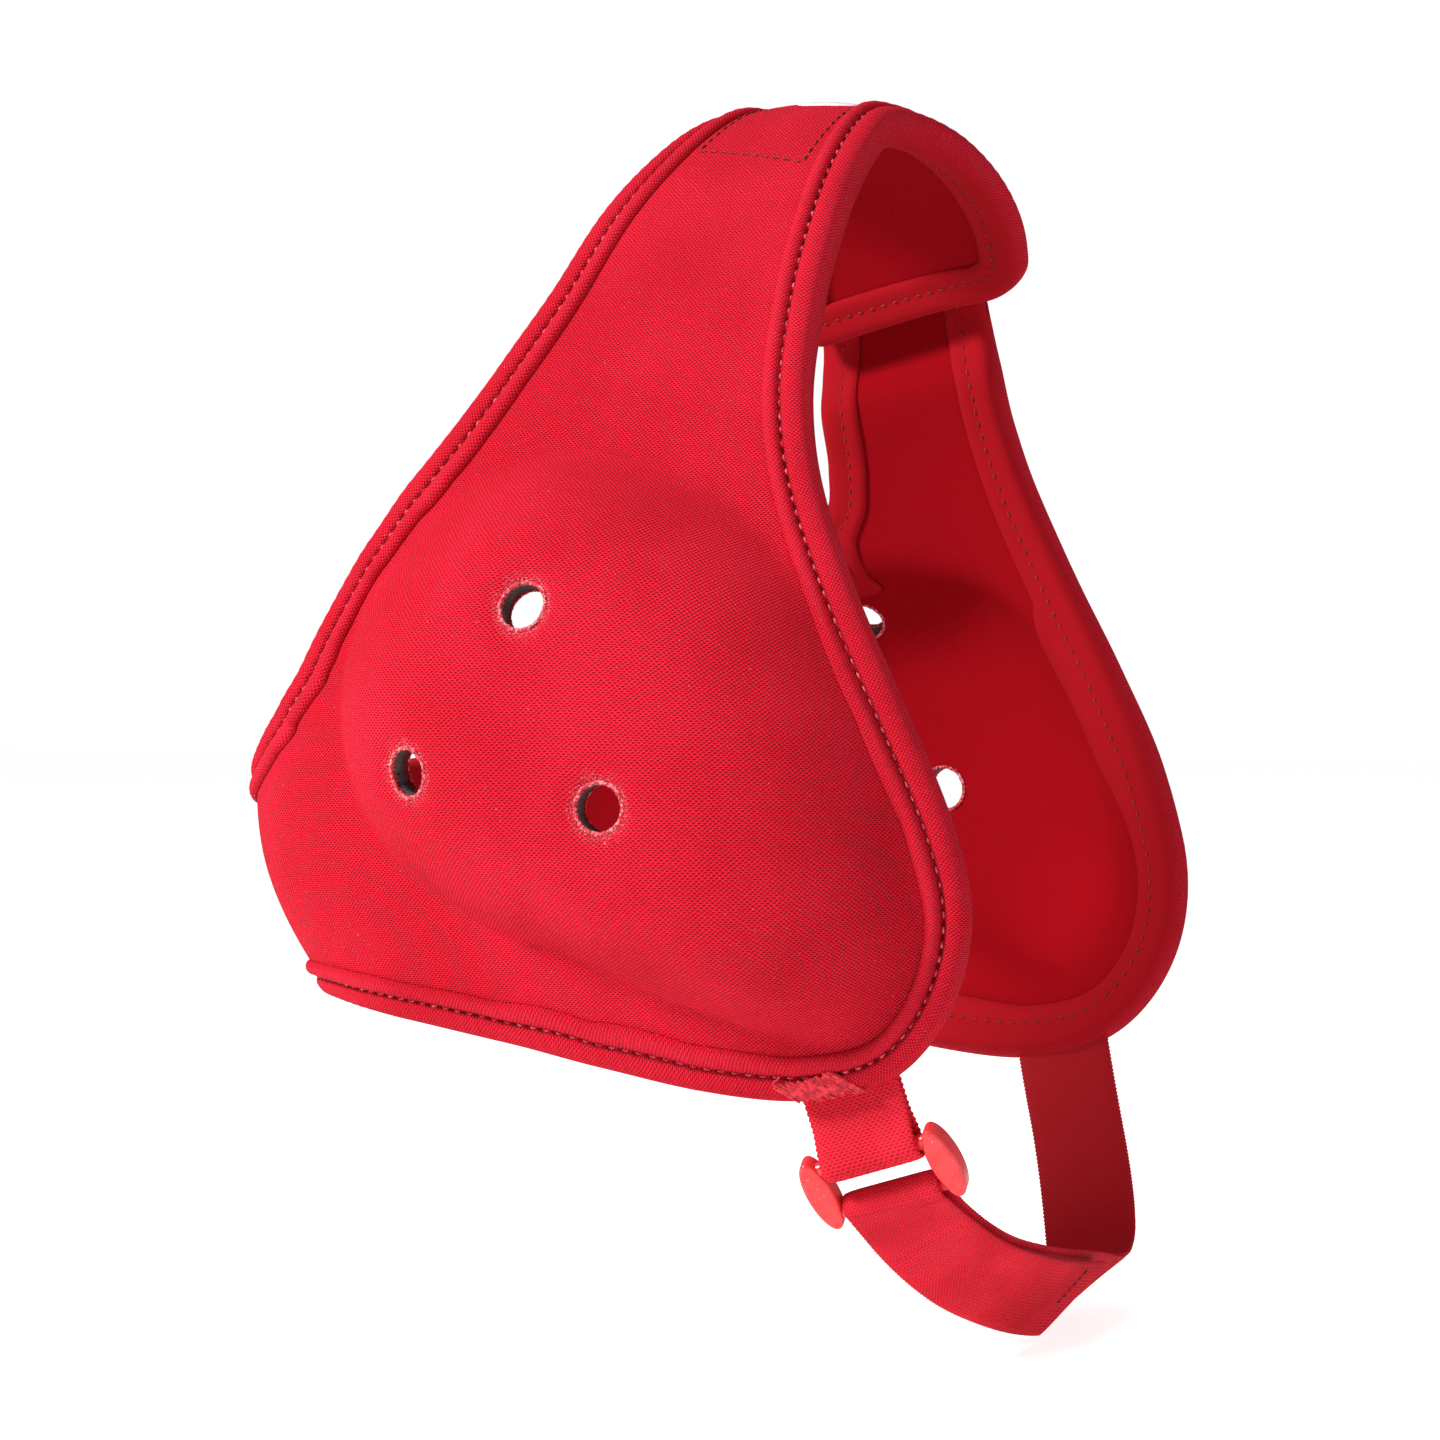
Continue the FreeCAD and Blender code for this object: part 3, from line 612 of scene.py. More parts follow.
# The darkest red here is painted shade for the pits between the knit loops.
BRIGHT, DEEP, PIT_SHADE = srgb(246, 30, 56), srgb(228, 20, 44), srgb(126, 4, 16)
# Painted light: the pale pink is a painted highlight on raised loops and bead tops, the dull red is
# painted shade on inner faces.
TIP_HIGHLIGHT, INSIDE_SHADE = srgb(255, 88, 110), srgb(172, 14, 27)
SHEEN = srgb(255, 90, 112)


def knit_material(name, wide, high, lined=False):
    """Bright red pique knit, with painted shade in the pits between the loops, lint, and painted
    highlights on the loop tips.
    """
    m = Shade(name, roughness=0.85, specular=0.1, sheen=0.06, sheen_tint=SHEEN)
    uv, x, y = m.cloth()
    wobble = m.times(m.math("SUBTRACT", m.noise(0.35, 1.0, uv), 0.5), 0.5)
    d = m.cells(m.plus(x, wobble), m.plus(y, wobble), wide, high)
    pit_shade = m.math("SUBTRACT", 1.0, m.smooth(d, 0.12, 0.36))
    tip_highlight = m.smooth(d, 0.42, 0.62)
    fine = m.noise(2.2, 3.0, uv)
    base = m.mix(m.smooth(m.noise(28.0, 3.0), 0.35, 0.68), DEEP, BRIGHT)
    # Painted highlight on the raised loop tips.
    base = m.mix(m.times(tip_highlight, m.times(fine, 0.30)), base, TIP_HIGHLIGHT)
    # Painted shade in the pits between the loops.
    base = m.mix(m.times(pit_shade, m.plus(0.55, m.times(fine, 0.6))),
                 base, PIT_SHADE)
    lint = m.smooth(m.noise(1.5, 0.0, uv), 0.82, 0.88)
    base = m.mix(m.times(lint, 0.35), base, srgb(255, 150, 165))
    if lined:
        # Painted highlight on the top of the bead and on the rolled edge of the tape.
        base = m.mix(m.mark("painted_highlight"), base, m.mix(m.times(fine, 0.4), BRIGHT, TIP_HIGHLIGHT))
        # Painted shade in the stitch groove and its needle holes.
        base = m.mix(m.mark("pit_shade"), base, srgb(84, 2, 10))
        # Painted shade: the inner face of the tape is darkened.
        base = m.mix(m.mark("inside"), base, INSIDE_SHADE)
    else:
        specks = m.smooth(m.noise(2.6, 2.0, uv), 0.47, 0.66)
        fray = m.mark("fray")
        base = m.mix(m.math("MULTIPLY", fray, specks, clamp=True), base, srgb(250, 168, 176))
    height = m.plus(m.smooth(d, 0.10, 0.55), m.times(fine, 0.35))
    if lined:
        height = m.times(height, m.math("SUBTRACT", 1.0, m.mark("inside")))
    m.bump(height, 0.0004, 0.9)
    return m.colour(base)


def lining_material():
    """Flat red tricot with fine vertical wales, painted dark red as the shade inside the helmet."""
    m = Shade("shaded_red_tricot", roughness=0.95, specular=0.04)
    uv, x, y = m.cloth()
    wale = m.math("SINE", m.times(x, 2 * math.pi / 0.55))
    # Painted shade: this dark red stands in for the shade inside the helmet.
    base = m.mix(m.noise(16.0, 2.0), srgb(150, 8, 20), srgb(170, 12, 25))
    base = m.mix(m.times(m.plus(wale, 1.0), 0.06), base, srgb(90, 3, 9))
    m.bump(wale, 0.00004, 0.4)
    return m.colour(base)


def foam_material():
    """Grey closed-cell foam, with cut cells."""
    m = Shade("grey_eva_foam", roughness=0.92, specular=0.15)
    grain = m.noise(1400.0, 3.0)
    base = m.mix(m.noise(420.0, 2.0), srgb(62, 54, 55), srgb(108, 96, 95))
    base = m.mix(m.smooth(grain, 0.55, 0.72), base, srgb(45, 38, 40))
    m.bump(grain, 0.0003, 0.8)
    return m.colour(base)


def fused_material():
    """Melted knit at the rims of the vents: red with pale worn specks."""
    m = Shade("fused_knit", roughness=0.55, specular=0.4)
    grain = m.noise(1500.0, 4.0)
    base = m.mix(m.smooth(grain, 0.46, 0.66), srgb(204, 30, 50), srgb(240, 158, 166))
    base = m.mix(m.smooth(m.noise(700.0, 1.0), 0.58, 0.7), base, srgb(150, 20, 34))
    m.bump(grain, 0.0004, 0.8)
    return m.colour(base)


def webbing_material(name, wide, high):
    """Red woven webbing: weft ribs crossed by warp columns, with painted shade between the cells,
    painted highlights on the rib tops, and painted shade on the face inside the loop.
    """
    m = Shade(name, roughness=0.66, specular=0.16, sheen=0.04, sheen_tint=SHEEN)
    uv, x, y = m.cloth()
    d = m.cells(x, y, wide, high)
    pit_shade = m.math("SUBTRACT", 1.0, m.smooth(d, 0.12, 0.40))
    fine = m.noise(3.0, 3.0, uv)
    base = m.mix(m.smooth(m.noise(60.0, 2.0), 0.35, 0.65), srgb(226, 20, 44), srgb(246, 32, 56))
    # Painted shade between the weave cells.
    base = m.mix(m.times(pit_shade, m.plus(0.3, m.times(fine, 0.5))),
                 base, srgb(140, 6, 20))
    # Painted highlight on the rib tops.
    tip_highlight = m.times(m.smooth(d, 0.42, 0.62), 0.3)
    base = m.mix(tip_highlight, base, srgb(255, 84, 102))
    # Painted shade on the face inside the loop.
    base = m.mix(m.mark("inside"), base, INSIDE_SHADE)
    keep = m.math("SUBTRACT", 1.0, m.mark("inside"))
    m.bump(m.times(m.smooth(d, 0.1, 0.55), keep), 0.00022, 0.8)
    return m.colour(base)


def thread_material(name, dark, light, scale=900.0):
    m = Shade(name, roughness=0.5, specular=0.4, sheen=0.1)
    twist = m.noise(scale, 2.0)
    m.bump(twist, 0.0001, 0.8)
    return m.colour(m.mix(m.smooth(twist, 0.4, 0.62), dark, light))


def plastic_material():
    """Glossy coral-red moulded plastic, with faint flow marks and small pale specks."""
    m = Shade("coral_red_plastic", roughness=0.28, specular=0.5, coat=0.25)
    m.bsdf.inputs["Subsurface Weight"].default_value = 0.12
    m.bsdf.inputs["Subsurface Radius"].default_value = (0.003, 0.0008, 0.0006)
    flow = m.noise(240.0, 3.0)
    base = m.mix(m.smooth(flow, 0.3, 0.7), srgb(245, 44, 52), srgb(255, 66, 70))
    base = m.mix(m.smooth(m.noise(1900.0, 2.0), 0.66, 0.74), base, srgb(255, 130, 130))
    m.bump(m.noise(900.0, 4.0), 0.00008, 0.5)
    return m.colour(base)


def print_material():
    """White rubbery ink that has sunk a little into the knit."""
    m = Shade("white_ink", roughness=0.5, specular=0.4)
    grain = m.noise(1000.0, 3.0)
    base = m.mix(m.smooth(grain, 0.5, 0.75), srgb(246, 243, 244), srgb(232, 190, 196))
    m.bump(grain, 0.0002, 0.6)
    return m.colour(base)


def fastener_material(name, dark, light):
    """Hook or loop tape."""
    m = Shade(name, roughness=0.8, specular=0.25, sheen=0.2)
    base = m.mix(m.noise(1300.0, 3.0), dark, light)
    m.bump(m.noise(1700.0, 3.0), 0.0006, 0.9)
    return m.colour(base)


KNIT = knit_material("red_pique", 1.07, 0.45)
TAPE = knit_material("red_bias_tape", 0.95, 0.42, lined=True)
LINING = lining_material()
FOAM = foam_material()
FUSED = fused_material()
WEBBING = webbing_material("red_webbing_fine", 0.9, 0.42)
COARSE = webbing_material("red_webbing_coarse", 1.25, 0.62)
THREAD = thread_material("red_thread", srgb(206, 22, 42), srgb(244, 104, 118))
TACK_THREAD = thread_material("matted_red_thread", srgb(188, 14, 34), srgb(240, 44, 66))
# Painted shade: the inner stitches are darkened to match the shaded inside.
INNER_THREAD = thread_material("lining_thread", srgb(122, 8, 18), srgb(160, 16, 28))
DARK_THREAD = thread_material("dark_red_thread", srgb(88, 4, 14), srgb(160, 20, 34))
PLASTIC = plastic_material()
INK = print_material()
LOOPS = fastener_material("loop_tape", srgb(150, 12, 24), srgb(226, 50, 66))
HOOKS = fastener_material("hook_tape", srgb(120, 8, 18), srgb(196, 30, 44))


# ---------------------------------------------------------------- placing pieces
def left_side(p):
    return np.array((-p[0], p[1], p[2]))


def place(obj, stands_for=(), body="headgear"):
    """Parents a piece to its body's empty, or for "tab bend" bakes its transform, and hides the CAD
    nodes it stands for.
    """
    if body == "tab bend":
        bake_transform(obj)
    else:
        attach(obj, body)
    if stands_for:
        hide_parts(*stands_for)
    return obj


# ---------------------------------------------------------------- laminate
# Height of each face over the outer one, and whether it follows the dimples.
FACES = ((0.0, True), (-COVER, True), (-FOAM_IN, False), (-WALL, False))
LAYERS = (("cover", "red_knit", KNIT), ("foam", "grey_foam", FOAM),
          ("lining", "dark_lining", LINING))
ROWS_PER_STATION, POINTS_ACROSS = 9, 81


def open_vents(points, faces, axes):
    """Drops the faces inside the vents; returns what is kept and each vent's rim points."""
    middle = points[faces].mean(axis=1)
    keep, rims = np.ones(len(faces), bool), []
    for a, n in axes:
        q = middle - a
        depth = dot(q, n)[:, 0]
        inside = (np.linalg.norm(q - n * depth[:, None], axis=1) < VENT_R - 0.2) & (abs(depth) < 25)
        keep &= ~inside
        rims.append(faces[inside])
    used = np.unique(faces[keep])
    return faces[keep], [np.intersect1d(np.unique(r), used) for r in rims]


def snap(panel, u, v, rims, axes, h, dimpled):
    """Slides the stations at the vents' rims on to the vents' cylinders."""
    shape, u, v = u.shape, u.ravel().copy(), v.ravel().copy()
    u0, v0 = u.copy(), v.copy()
    fixed = np.zeros(len(u), bool)
    for (a, n), rim in zip(axes, rims):
        for _ in range(5):
            q = panel.at(u[rim], v[rim], h, dimpled)[0] - a
            q = q - n * dot(q, n)
            r = np.linalg.norm(q, axis=1, keepdims=True)
            u[rim], v[rim] = panel.offset(u[rim], v[rim], q / r * (VENT_R - r))
        fixed[rim] = True
    moved = np.stack([u - u0, v - v0], -1).reshape(*shape, 2)
    still, held = moved.copy(), fixed.reshape(*shape, 1)
    for _ in range(3):
        near = sum(np.roll(still, k, axis) for k in (1, -1) for axis in (0, 1)) / 4
        still = np.where(held, moved, near)
    return u0.reshape(shape) + still[..., 0], v0.reshape(shape) + still[..., 1]


def laminate(side, panel, axes, tab):
    """Cover, foam and lining of one half, with their vents."""
    mirrored, body = side == "left", "tab bend" if tab else "headgear"
    u, v = panel.grid(ROWS_PER_STATION, POINTS_ACROSS)
    quads = grid_faces(*u.shape)
    outer = panel.at(u, v, 0.0, True)[0]
    faces, rims = open_vents(outer.reshape(-1, 3), quads, axes)
    sheets = []
    for h, dimpled in FACES:
        su, sv = snap(panel, u, v, rims, axes, h, dimpled)
        sheets.append(panel.at(su, sv, h, dimpled)[0])
    uv = flat_places(panel, u, v)
    both = np.concatenate([uv.reshape(-1, 2)] * 2)
    far = np.min([np.linalg.norm(np.cross(sheets[0].reshape(-1, 3) - a, n), axis=1)
                  for a, n in axes], axis=0)
    fray = np.tile(np.clip(0.95 - (far - VENT_R) / 2.1, 0, 1), 2)
    made = {}
    for k, (layer, slot, material) in enumerate(LAYERS):
        points, solid = thick(sheets[k], sheets[k + 1], faces)
        made[layer] = mesh(f"{side}_{layer}_layer", points, solid, material, both,
                           {"fray": fray} if layer == "cover" else None, mirrored)
        nodes = [f"{side}_{layer}"] + ([f"tab_{layer}"] if tab else [])
        place(made[layer], nodes, body)
    rim_parts = [rim_ring(sheets[k].reshape(-1, 3)[rim], a, n, out, r)
                 for (a, n), rim in zip(axes, rims) for k, out, r in ((0, 1, 0.5), (3, -1, 0.4))]
    lips = mesh(f"{side}_vent_rims", *join(rim_parts), FUSED, mirrored=mirrored)
    place(lips)


def rim_ring(rim, a, n, out, radius):
    """Fused lip round one end of a vent."""
    side = unit(np.cross(n, (0.0, 0.3, 1.0)))
    up = np.cross(side, n)
    q = rim - a
    angle = np.arctan2(q @ up, q @ side)
    turn = np.linspace(-np.pi, np.pi, 96, endpoint=False)
    order = np.argsort(angle)
    height = np.interp(turn, angle[order], (q @ n)[order], period=2 * np.pi)
    rough = 1 + 0.16 * rng.standard_normal((96, 8))
    lap = circle(8)
    reach = VENT_R + 0.22 + radius * rough * np.cos(lap)
    lift = height[:, None] + out * 0.12 + 0.8 * radius * rough * np.sin(lap)
    ray = np.cos(turn)[:, None, None] * side + np.sin(turn)[:, None, None] * up
    points = a + ray * reach[..., None] + n * lift[..., None]
    faces = grid_faces(97, 8, ring=True) % (96 * 8)
    return points, faces


# ---------------------------------------------------------------- bindings
# The folded tape: distance in from the edge, and height over the outer face.
TAPE_PROFILE = np.array((
    (8.30, 0.08), (8.32, 0.55), (8.0, 1.15), (7.35, 1.6), (6.6, 1.78), (5.9, 1.62), (5.3, 1.15),
    (4.95, 0.66), (4.6, 0.52), (4.3, 0.72), (3.9, 1.12), (3.2, 1.42), (2.2, 1.52), (1.2, 1.38),
    (0.3, 1.02), (-0.45, 0.35), (-0.95, -0.6), (-1.22, -2.0), (-1.28, -3.5), (-1.12, -5.0),
    (-0.7, -6.2), (0.1, -6.9), (1.4, -7.12), (3.3, -7.06), (4.3, -6.82), (4.7, -6.78),
    (5.2, -6.95), (7.0, -6.98), (8.4, -6.72), (8.6, -6.2), (6.0, -5.9), (0.4, -5.7),
    (0.3, -0.3), (6.0, 0.0)))
GROOVE, INNER_ROW = 8, 25  # points of the profile that the stitches run along
FOLD = 15  # first point of the profile past the panel's edge


def binding(side, panel, nodes, tab):
    """Folded binding all round one half, sewn through with run stitches."""
    mirrored, body = side == "left", "tab bend" if tab else "headgear"
    u, v = panel.border(STITCH_PITCH / 4)
    p, n, _, _ = panel.frame(u, v)
    t = unit(np.gradient(p, axis=0))
    inward = np.cross(n, t)
    if np.sum(inward[5] * (panel.face(u[5], 0.5) - p[5])) < 0:
        inward = -inward
    middle = np.abs(p[:, 0]) < 1e-6
    inward[middle, 0] = 0.0
    inward = unit(inward)
    run = lengths(p)
    phase = 2 * np.pi * run / STITCH_PITCH
    hole = np.sqrt(0.5 + 0.5 * np.cos(phase))
    slow = np.sin(run / 9.1 + 1) * np.sin(run / 23.7) + 0.6 * np.sin(run / 5.3 + 2)
    lines, norms = [], []
    for k, (s, h) in enumerate(TAPE_PROFILE):
        height = np.full(len(p), h)
        if abs(k - GROOVE) <= 1:
            height -= (0.34 if k == GROOVE else 0.14) * hole
        elif k < GROOVE:
            height += min(k, 3) / 3 * (0.05 * np.cos(phase) + 0.07 * slow)
        elif k < FOLD:
            height += 0.06 * np.cos(phase) + 0.06 * slow
        if s > 0:
            su, sv = panel.offset(u, v, inward * s)
            su = np.clip(su, 0, panel.last)
            q, m, _, _ = panel.frame(su, sv)
            q[middle, 0] = 0.0
            lines.append(q + m * np.atleast_1d(panel.stand(su, height))[:, None])
            norms.append(m)
        else:
            lines.append(p + inward * s + n * np.atleast_1d(panel.stand(u, height))[:, None])
            norms.append(n)
    rails = np.stack(lines, 1)
    count = len(TAPE_PROFILE)
    faces = tube_faces(len(p), count)
    across = np.concatenate([[0], np.cumsum(np.hypot(*np.diff(TAPE_PROFILE, axis=0).T))])
    uv = np.stack(np.broadcast_arrays(across[None, :], run[:, None]), -1)
    marks = {key: np.zeros((len(p), count)) for key in ("pit_shade", "painted_highlight", "inside")}
    # Painted shade in the stitch groove, deepest at the needle holes.
    marks["pit_shade"][:, GROOVE] = 0.45 + 0.55 * hole
    marks["pit_shade"][:, [GROOVE - 1, GROOVE + 1]] = 0.15 + 0.45 * hole[:, None]
    # Painted highlights: the top of the bead, then the rolled edge.
    marks["painted_highlight"][:, 3:6] = np.clip(0.22 + 0.12 * slow, 0, 1)[:, None]
    marks["painted_highlight"][:, FOLD - 1:FOLD + 3] = 0.14
    # Painted shade on the inner face of the tape, fading in round the roll.
    marks["inside"][:, 20:] = 1.0
    marks["inside"][:, 17:20] = (0.2, 0.5, 0.85)
    tape = mesh(f"{side}_binding_tape", rails, faces, TAPE, uv, marks, mirrored)
    place(tape, nodes, body)
    for name, k, flip, thread in (("stitches", GROOVE, 1, THREAD),
                                  ("inner_stitches", INNER_ROW, -1, INNER_THREAD)):
        line = lines[k] + norms[k] * flip * 0.02
        row = mesh(f"{side}_binding_{name}", *stitches(line, norms[k] * flip), thread,
                   mirrored=mirrored)
        place(row, (), body)


laminate("right", right, vent_axes(right), False)
laminate("left", left, vent_axes(left), True)
binding("right", right, ["right_front_binding", "right_rear_binding", "crown_end_binding"], False)
binding("left", left, ["left_front_binding", "left_rear_binding", "tab_front_binding",
                       "tab_rear_binding", "tab_end_binding"], True)


# ---------------------------------------------------------------- crown and nape details
def sewn(name, panel, stations, h, mirrored=False, body="headgear"):
    """Run stitches along straight runs between stations."""
    u, v = np.array(stations, float).T
    k = np.linspace(0, len(u) - 1, 40 * (len(u) - 1) + 1)
    line, n = panel.at(np.interp(k, range(len(u)), u), np.interp(k, range(len(u)), v), h)
    line, n = evenly(line, 0.4, n)
    threads = stitches(line, n, **FINE_STITCH)
    place(mesh(name, *threads, DARK_THREAD, mirrored=mirrored), (), body)


BOX = ((2.0, 0.23), (4.3, 0.23), (4.45, 0.77), (2.0, 0.80), (2.0, 0.23))
sewn("crown_box_stitches", right, BOX, 0.05)

# A plain capsule of white ink.
turn, share = np.meshgrid(circle(96), np.linspace(0, 1, 14), indexing="ij")
power = 0.62
cu = 2.75 + 0.48 * share * np.sign(np.cos(turn)) * np.abs(np.cos(turn)) ** power
cv = 0.59 + 0.19 * share * np.sign(np.sin(turn)) * np.abs(np.sin(turn)) ** power
edge = 1 - np.clip((share - 0.86) / 0.14, 0, 1) ** 2
ink_top, ink_n = right.at(cu, cv, 0.02)
ink_top = ink_top + ink_n * (0.26 * edge)[..., None]
ink_low = right.at(cu, cv, -0.15)[0]
faces = grid_faces(97, 14) % (96 * 14)
points, solid = thick(ink_top, ink_low, faces)
place(mesh("crown_white_print", points, solid, INK), ["crown_print"])


def fleece(name, panel, us, vs, low, high, nodes):
    """Loop tape: a thin pad whose top is a nap of little loops."""
    u, v = np.meshgrid(np.linspace(*us, 90), np.linspace(*vs, 90), indexing="ij")
    rough = rng.random(u.shape) * 0.45
    bottom, n = panel.at(u, v, low)
    rim = np.minimum(u - us[0], us[1] - u) / (us[1] - us[0]) < 0.03
    top = bottom + n * (np.where(rim, 0.2, 1.0) * (high - low - rough))[..., None]
    place(mesh(name, *thick(top, bottom, grid_faces(90, 90)), LOOPS), nodes)


def hook_field(base, n, t, tall=0.9):
    """Little hooks standing on given points."""
    parts = []
    bend = np.radians(np.linspace(0, 200, 7))
    stem = np.array([(0.0, -0.3), (0.0, tall * 0.55)])
    curl = np.stack([0.22 - 0.22 * np.cos(bend), tall * 0.55 + 0.3 * np.sin(bend)], -1)
    shape = np.concatenate([stem, curl[1:]])
    for p, up, side in zip(base, n, t):
        line = p + side * shape[:, :1] + up * shape[:, 1:]
        parts.append(tube(line, 0.09, 4))
    return parts


fleece("crown_loop_tape", right, (0.40, 1.0), (0.2, 0.8), 0.05, 1.5, ["crown_loop_patch"])

# Hook tape under the tab: stations count from the tab's free end.
hu, hv = np.meshgrid(np.linspace(1.0, 2.25, 24), np.linspace(0.22, 0.78, 22), indexing="ij")
base, n = left.at(hu, hv, -WALL)
top, _ = left.at(hu, hv, -WALL - 0.5)
points, solid = thick(base + n * 0.05, top, grid_faces(24, 22))
side = unit(np.gradient(base, axis=0))
inner = (slice(1, -1), slice(1, -1))
stems = hook_field(top[inner].reshape(-1, 3), -n[inner].reshape(-1, 3),
                   side[inner].reshape(-1, 3), 0.75)
hook = mesh("tab_hook_tape", *join([(points, solid)] + stems), HOOKS, mirrored=True)
place(hook, ["tab_hook_patch"], "crown_tab")
sewn("tab_hook_stitches", left, ((0.93, 0.2), (0.93, 0.8), (2.3, 0.8), (2.3, 0.2), (0.93, 0.2)),
     0.05, mirrored=True, body="tab bend")

# Nape: seam tape inside, two rows of stitches outside.
vs = np.linspace(0.17, 0.83, 60)
rows = [right.at(np.full(60, uu), vs, 0.0) for uu in (21.78, 21.89, 22.0)]
lines = [p - m * 6.1 for p, m in rows]
lines += [q * (-1, 1, 1) for q in lines[1::-1]]
outs = [p - m * 6.85 for p, m in rows]
outs += [q * (-1, 1, 1) for q in outs[1::-1]]
uv = np.stack(np.broadcast_arrays(np.linspace(-6.6, 6.6, 5)[:, None], vs[None] * 60), -1)
points, solid = thick(np.stack(outs), np.stack(lines), grid_faces(5, 60))
seam = mesh("nape_tape", points, solid, LINING, np.concatenate([uv.reshape(-1, 2)] * 2))
place(seam, ["nape_seam_tape"])
zigzag = np.stack([outs[1 + 2 * (k % 2)][k] for k in range(60)]) - rows[2][1] * 0.05
seam_zigzag = place(mesh("nape_zigzag", *tube(evenly(zigzag, 0.5)[0], 0.24, 6), DARK_THREAD))
for side, flip in (("right", 1), ("left", -1)):
    p, m = right.at(np.full(80, 21.9), np.linspace(0.13, 0.87, 80), 0.04)
    p, m = evenly(p, 0.4, m)
    threads = stitches(p * (flip, 1, 1), m * (flip, 1, 1), **FINE_STITCH)
    row = mesh(f"nape_{side}_stitches", *threads, DARK_THREAD)
    place(row)


# ---------------------------------------------------------------- webbing
def relax(points, times):
    """Rounds the corners of a line of points."""
    points = np.array(points, float)
    for _ in range(times):
        points[1:-1] = (points[:-2] + 2 * points[1:-1] + points[2:]) / 4
    return points


def web(name, line, wides, material, pitch, rib, columns=15, stagger=False, inside=None):
    """Woven strap along a line of points: ribs across it and looped selvedges."""
    t = unit(np.gradient(line, axis=0))
    w = unit(wides - t * dot(wides, t))
    n = np.cross(t, w)
    run = lengths(line)
    x = np.linspace(-1, 1, columns)
    flank = 1 - 0.3 * np.abs(x) ** 10
    cos = np.cos(2 * np.pi * run / pitch)[:, None]
    turn = np.where(np.arange(columns) % 2, -1.0, 1.0) if stagger else np.ones(columns)
    top = (WEB_T / 2) * flank + rib * cos * turn * (1 - np.abs(x) ** 16)
    wave = 0.12 * np.sin(run / 11.0 + 0.7)[:, None]
    loop = 0.16 * cos
    wide = WEB_W / 2 - 0.35
    xs = np.concatenate([x * wide + wave, WEB_W / 2 + wave + loop,
                         x[::-1] * wide + wave, -WEB_W / 2 + wave - loop], axis=1)
    zero = 0 * cos
    ys = np.concatenate([top, zero, -top[:, ::-1], zero], axis=1)
    points = line[:, None] + w[:, None] * xs[..., None] + n[:, None] * ys[..., None]
    count = 2 * columns + 2
    faces = tube_faces(len(line), count)
    uv = np.stack(np.broadcast_arrays(xs, run[:, None]), -1)
    dark = np.zeros((len(line), count))
    # Painted shade: how much the inner faces are darkened.
    if inside is not None:
        dark[:, columns + 1:-1] = np.clip(inside, 0, 1)[:, None]
    return mesh(name, points, faces, material, uv, {"inside": dark})


RING_MID = np.array((-56.5, -45.3, -84.3))
ACROSS = unit(np.array((0, -0.958, 0.285)))
DOWN = np.array((0.545, -0.24, -0.80))
DOWN = unit(DOWN - ACROSS * np.dot(ACROSS, DOWN))
upper_bar = RING_MID - DOWN * (RING_PITCH / 2)
lower_bar = RING_MID + DOWN * (RING_PITCH / 2)
edge_p, edge_n, _, _ = (a[0] for a in right.frame(np.array([14.52]), np.array([1.0])))

# Keeper: two plies from the panel's corner, folded round the ring's upper bar.
rise = edge_p - edge_n * (WALL / 2) - upper_bar
rise = rise - ACROSS * np.dot(rise, ACROSS)
keeper_len = np.linalg.norm(rise) + 3.0
rise = unit(rise)
flat_n = unit(np.cross(ACROSS, rise))
LOOP_R = BAR_R + 0.3 + WEB_T / 2
arc = np.radians(np.arange(90, 271, 10.0))
route = [(keeper_len, 0.76), (7.5, 0.76), (3.5, 2.0)]
route += [(LOOP_R * math.cos(a), LOOP_R * math.sin(a)) for a in arc]
route += [(3.5, -2.0), (7.5, -0.76), (keeper_len, -0.76)]
line = np.array([upper_bar + rise * x + flat_n * y for x, y in route])
line = relax(evenly(line, 0.3)[0], 12)
keeper = web("keeper_loop", line, np.tile(ACROSS, (len(line), 1)), COARSE, 1.25, 0.13, 23, True)
place(keeper, ["keeper_webbing"])

STRAP = (
    ((-46.5, -49.8, -96.2), (0, -0.91, 0.42)),
    ((-38.5, -53.3, -102.4), (0, -0.84, 0.54)),
    ((-30, -56.8, -107), (0, -0.78, 0.62)),
    ((-15, -60.2, -111.3), (0, -0.70, 0.71)),
    ((0, -61.6, -113.8), (0, -0.66, 0.75)),
    ((15, -60.1, -115.2), (0, -0.70, 0.71)),
    ((30, -56.5, -115.6), (0, -0.78, 0.62)),
    ((43, -52.6, -114), (0, -0.88, 0.47)),
    ((53, -48.8, -108.4), (0, -0.96, 0.27)),
    ((59, -45.6, -99.2), (0, -0.99, 0.1)),
    ((61.5, -43, -88), (0, -1, 0.05)),
)
far_end = left_side(edge_p) - left_side(edge_n) * (WALL / 2)
leave = np.array((0.68, -0.31, -0.66))
leave = unit(leave - ACROSS * np.dot(leave, ACROSS))
path = [lower_bar, lower_bar + leave * 3.0] + [np.array(p, float) for p, _ in STRAP]
path += [far_end - (-0.4, 1.5, 9), far_end + (0, 0.5, 3)]
wides = [ACROSS, ACROSS] + [np.array(w, float) for _, w in STRAP]
wides += [np.array((0, -0.98, 0.2)), np.array((0, -0.973, 0.23))]
LAST = len(path) - 1.0
SPLIT, TAIL_END = 2.15, 6.35


def strap_at(s, high):
    """Points a height over the strap's middle line, its width directions and normals."""
    s = np.asarray(s, float)
    p = along(path, s)
    t = unit(along(path, np.minimum(s + 0.02, LAST)) - along(path, np.maximum(s - 0.02, 0)))
    w = along(wides, s)
    w = unit(w - t * dot(w, t))
    n = np.cross(t, w)
    return p + n * np.asarray(high, float)[..., None], w, n


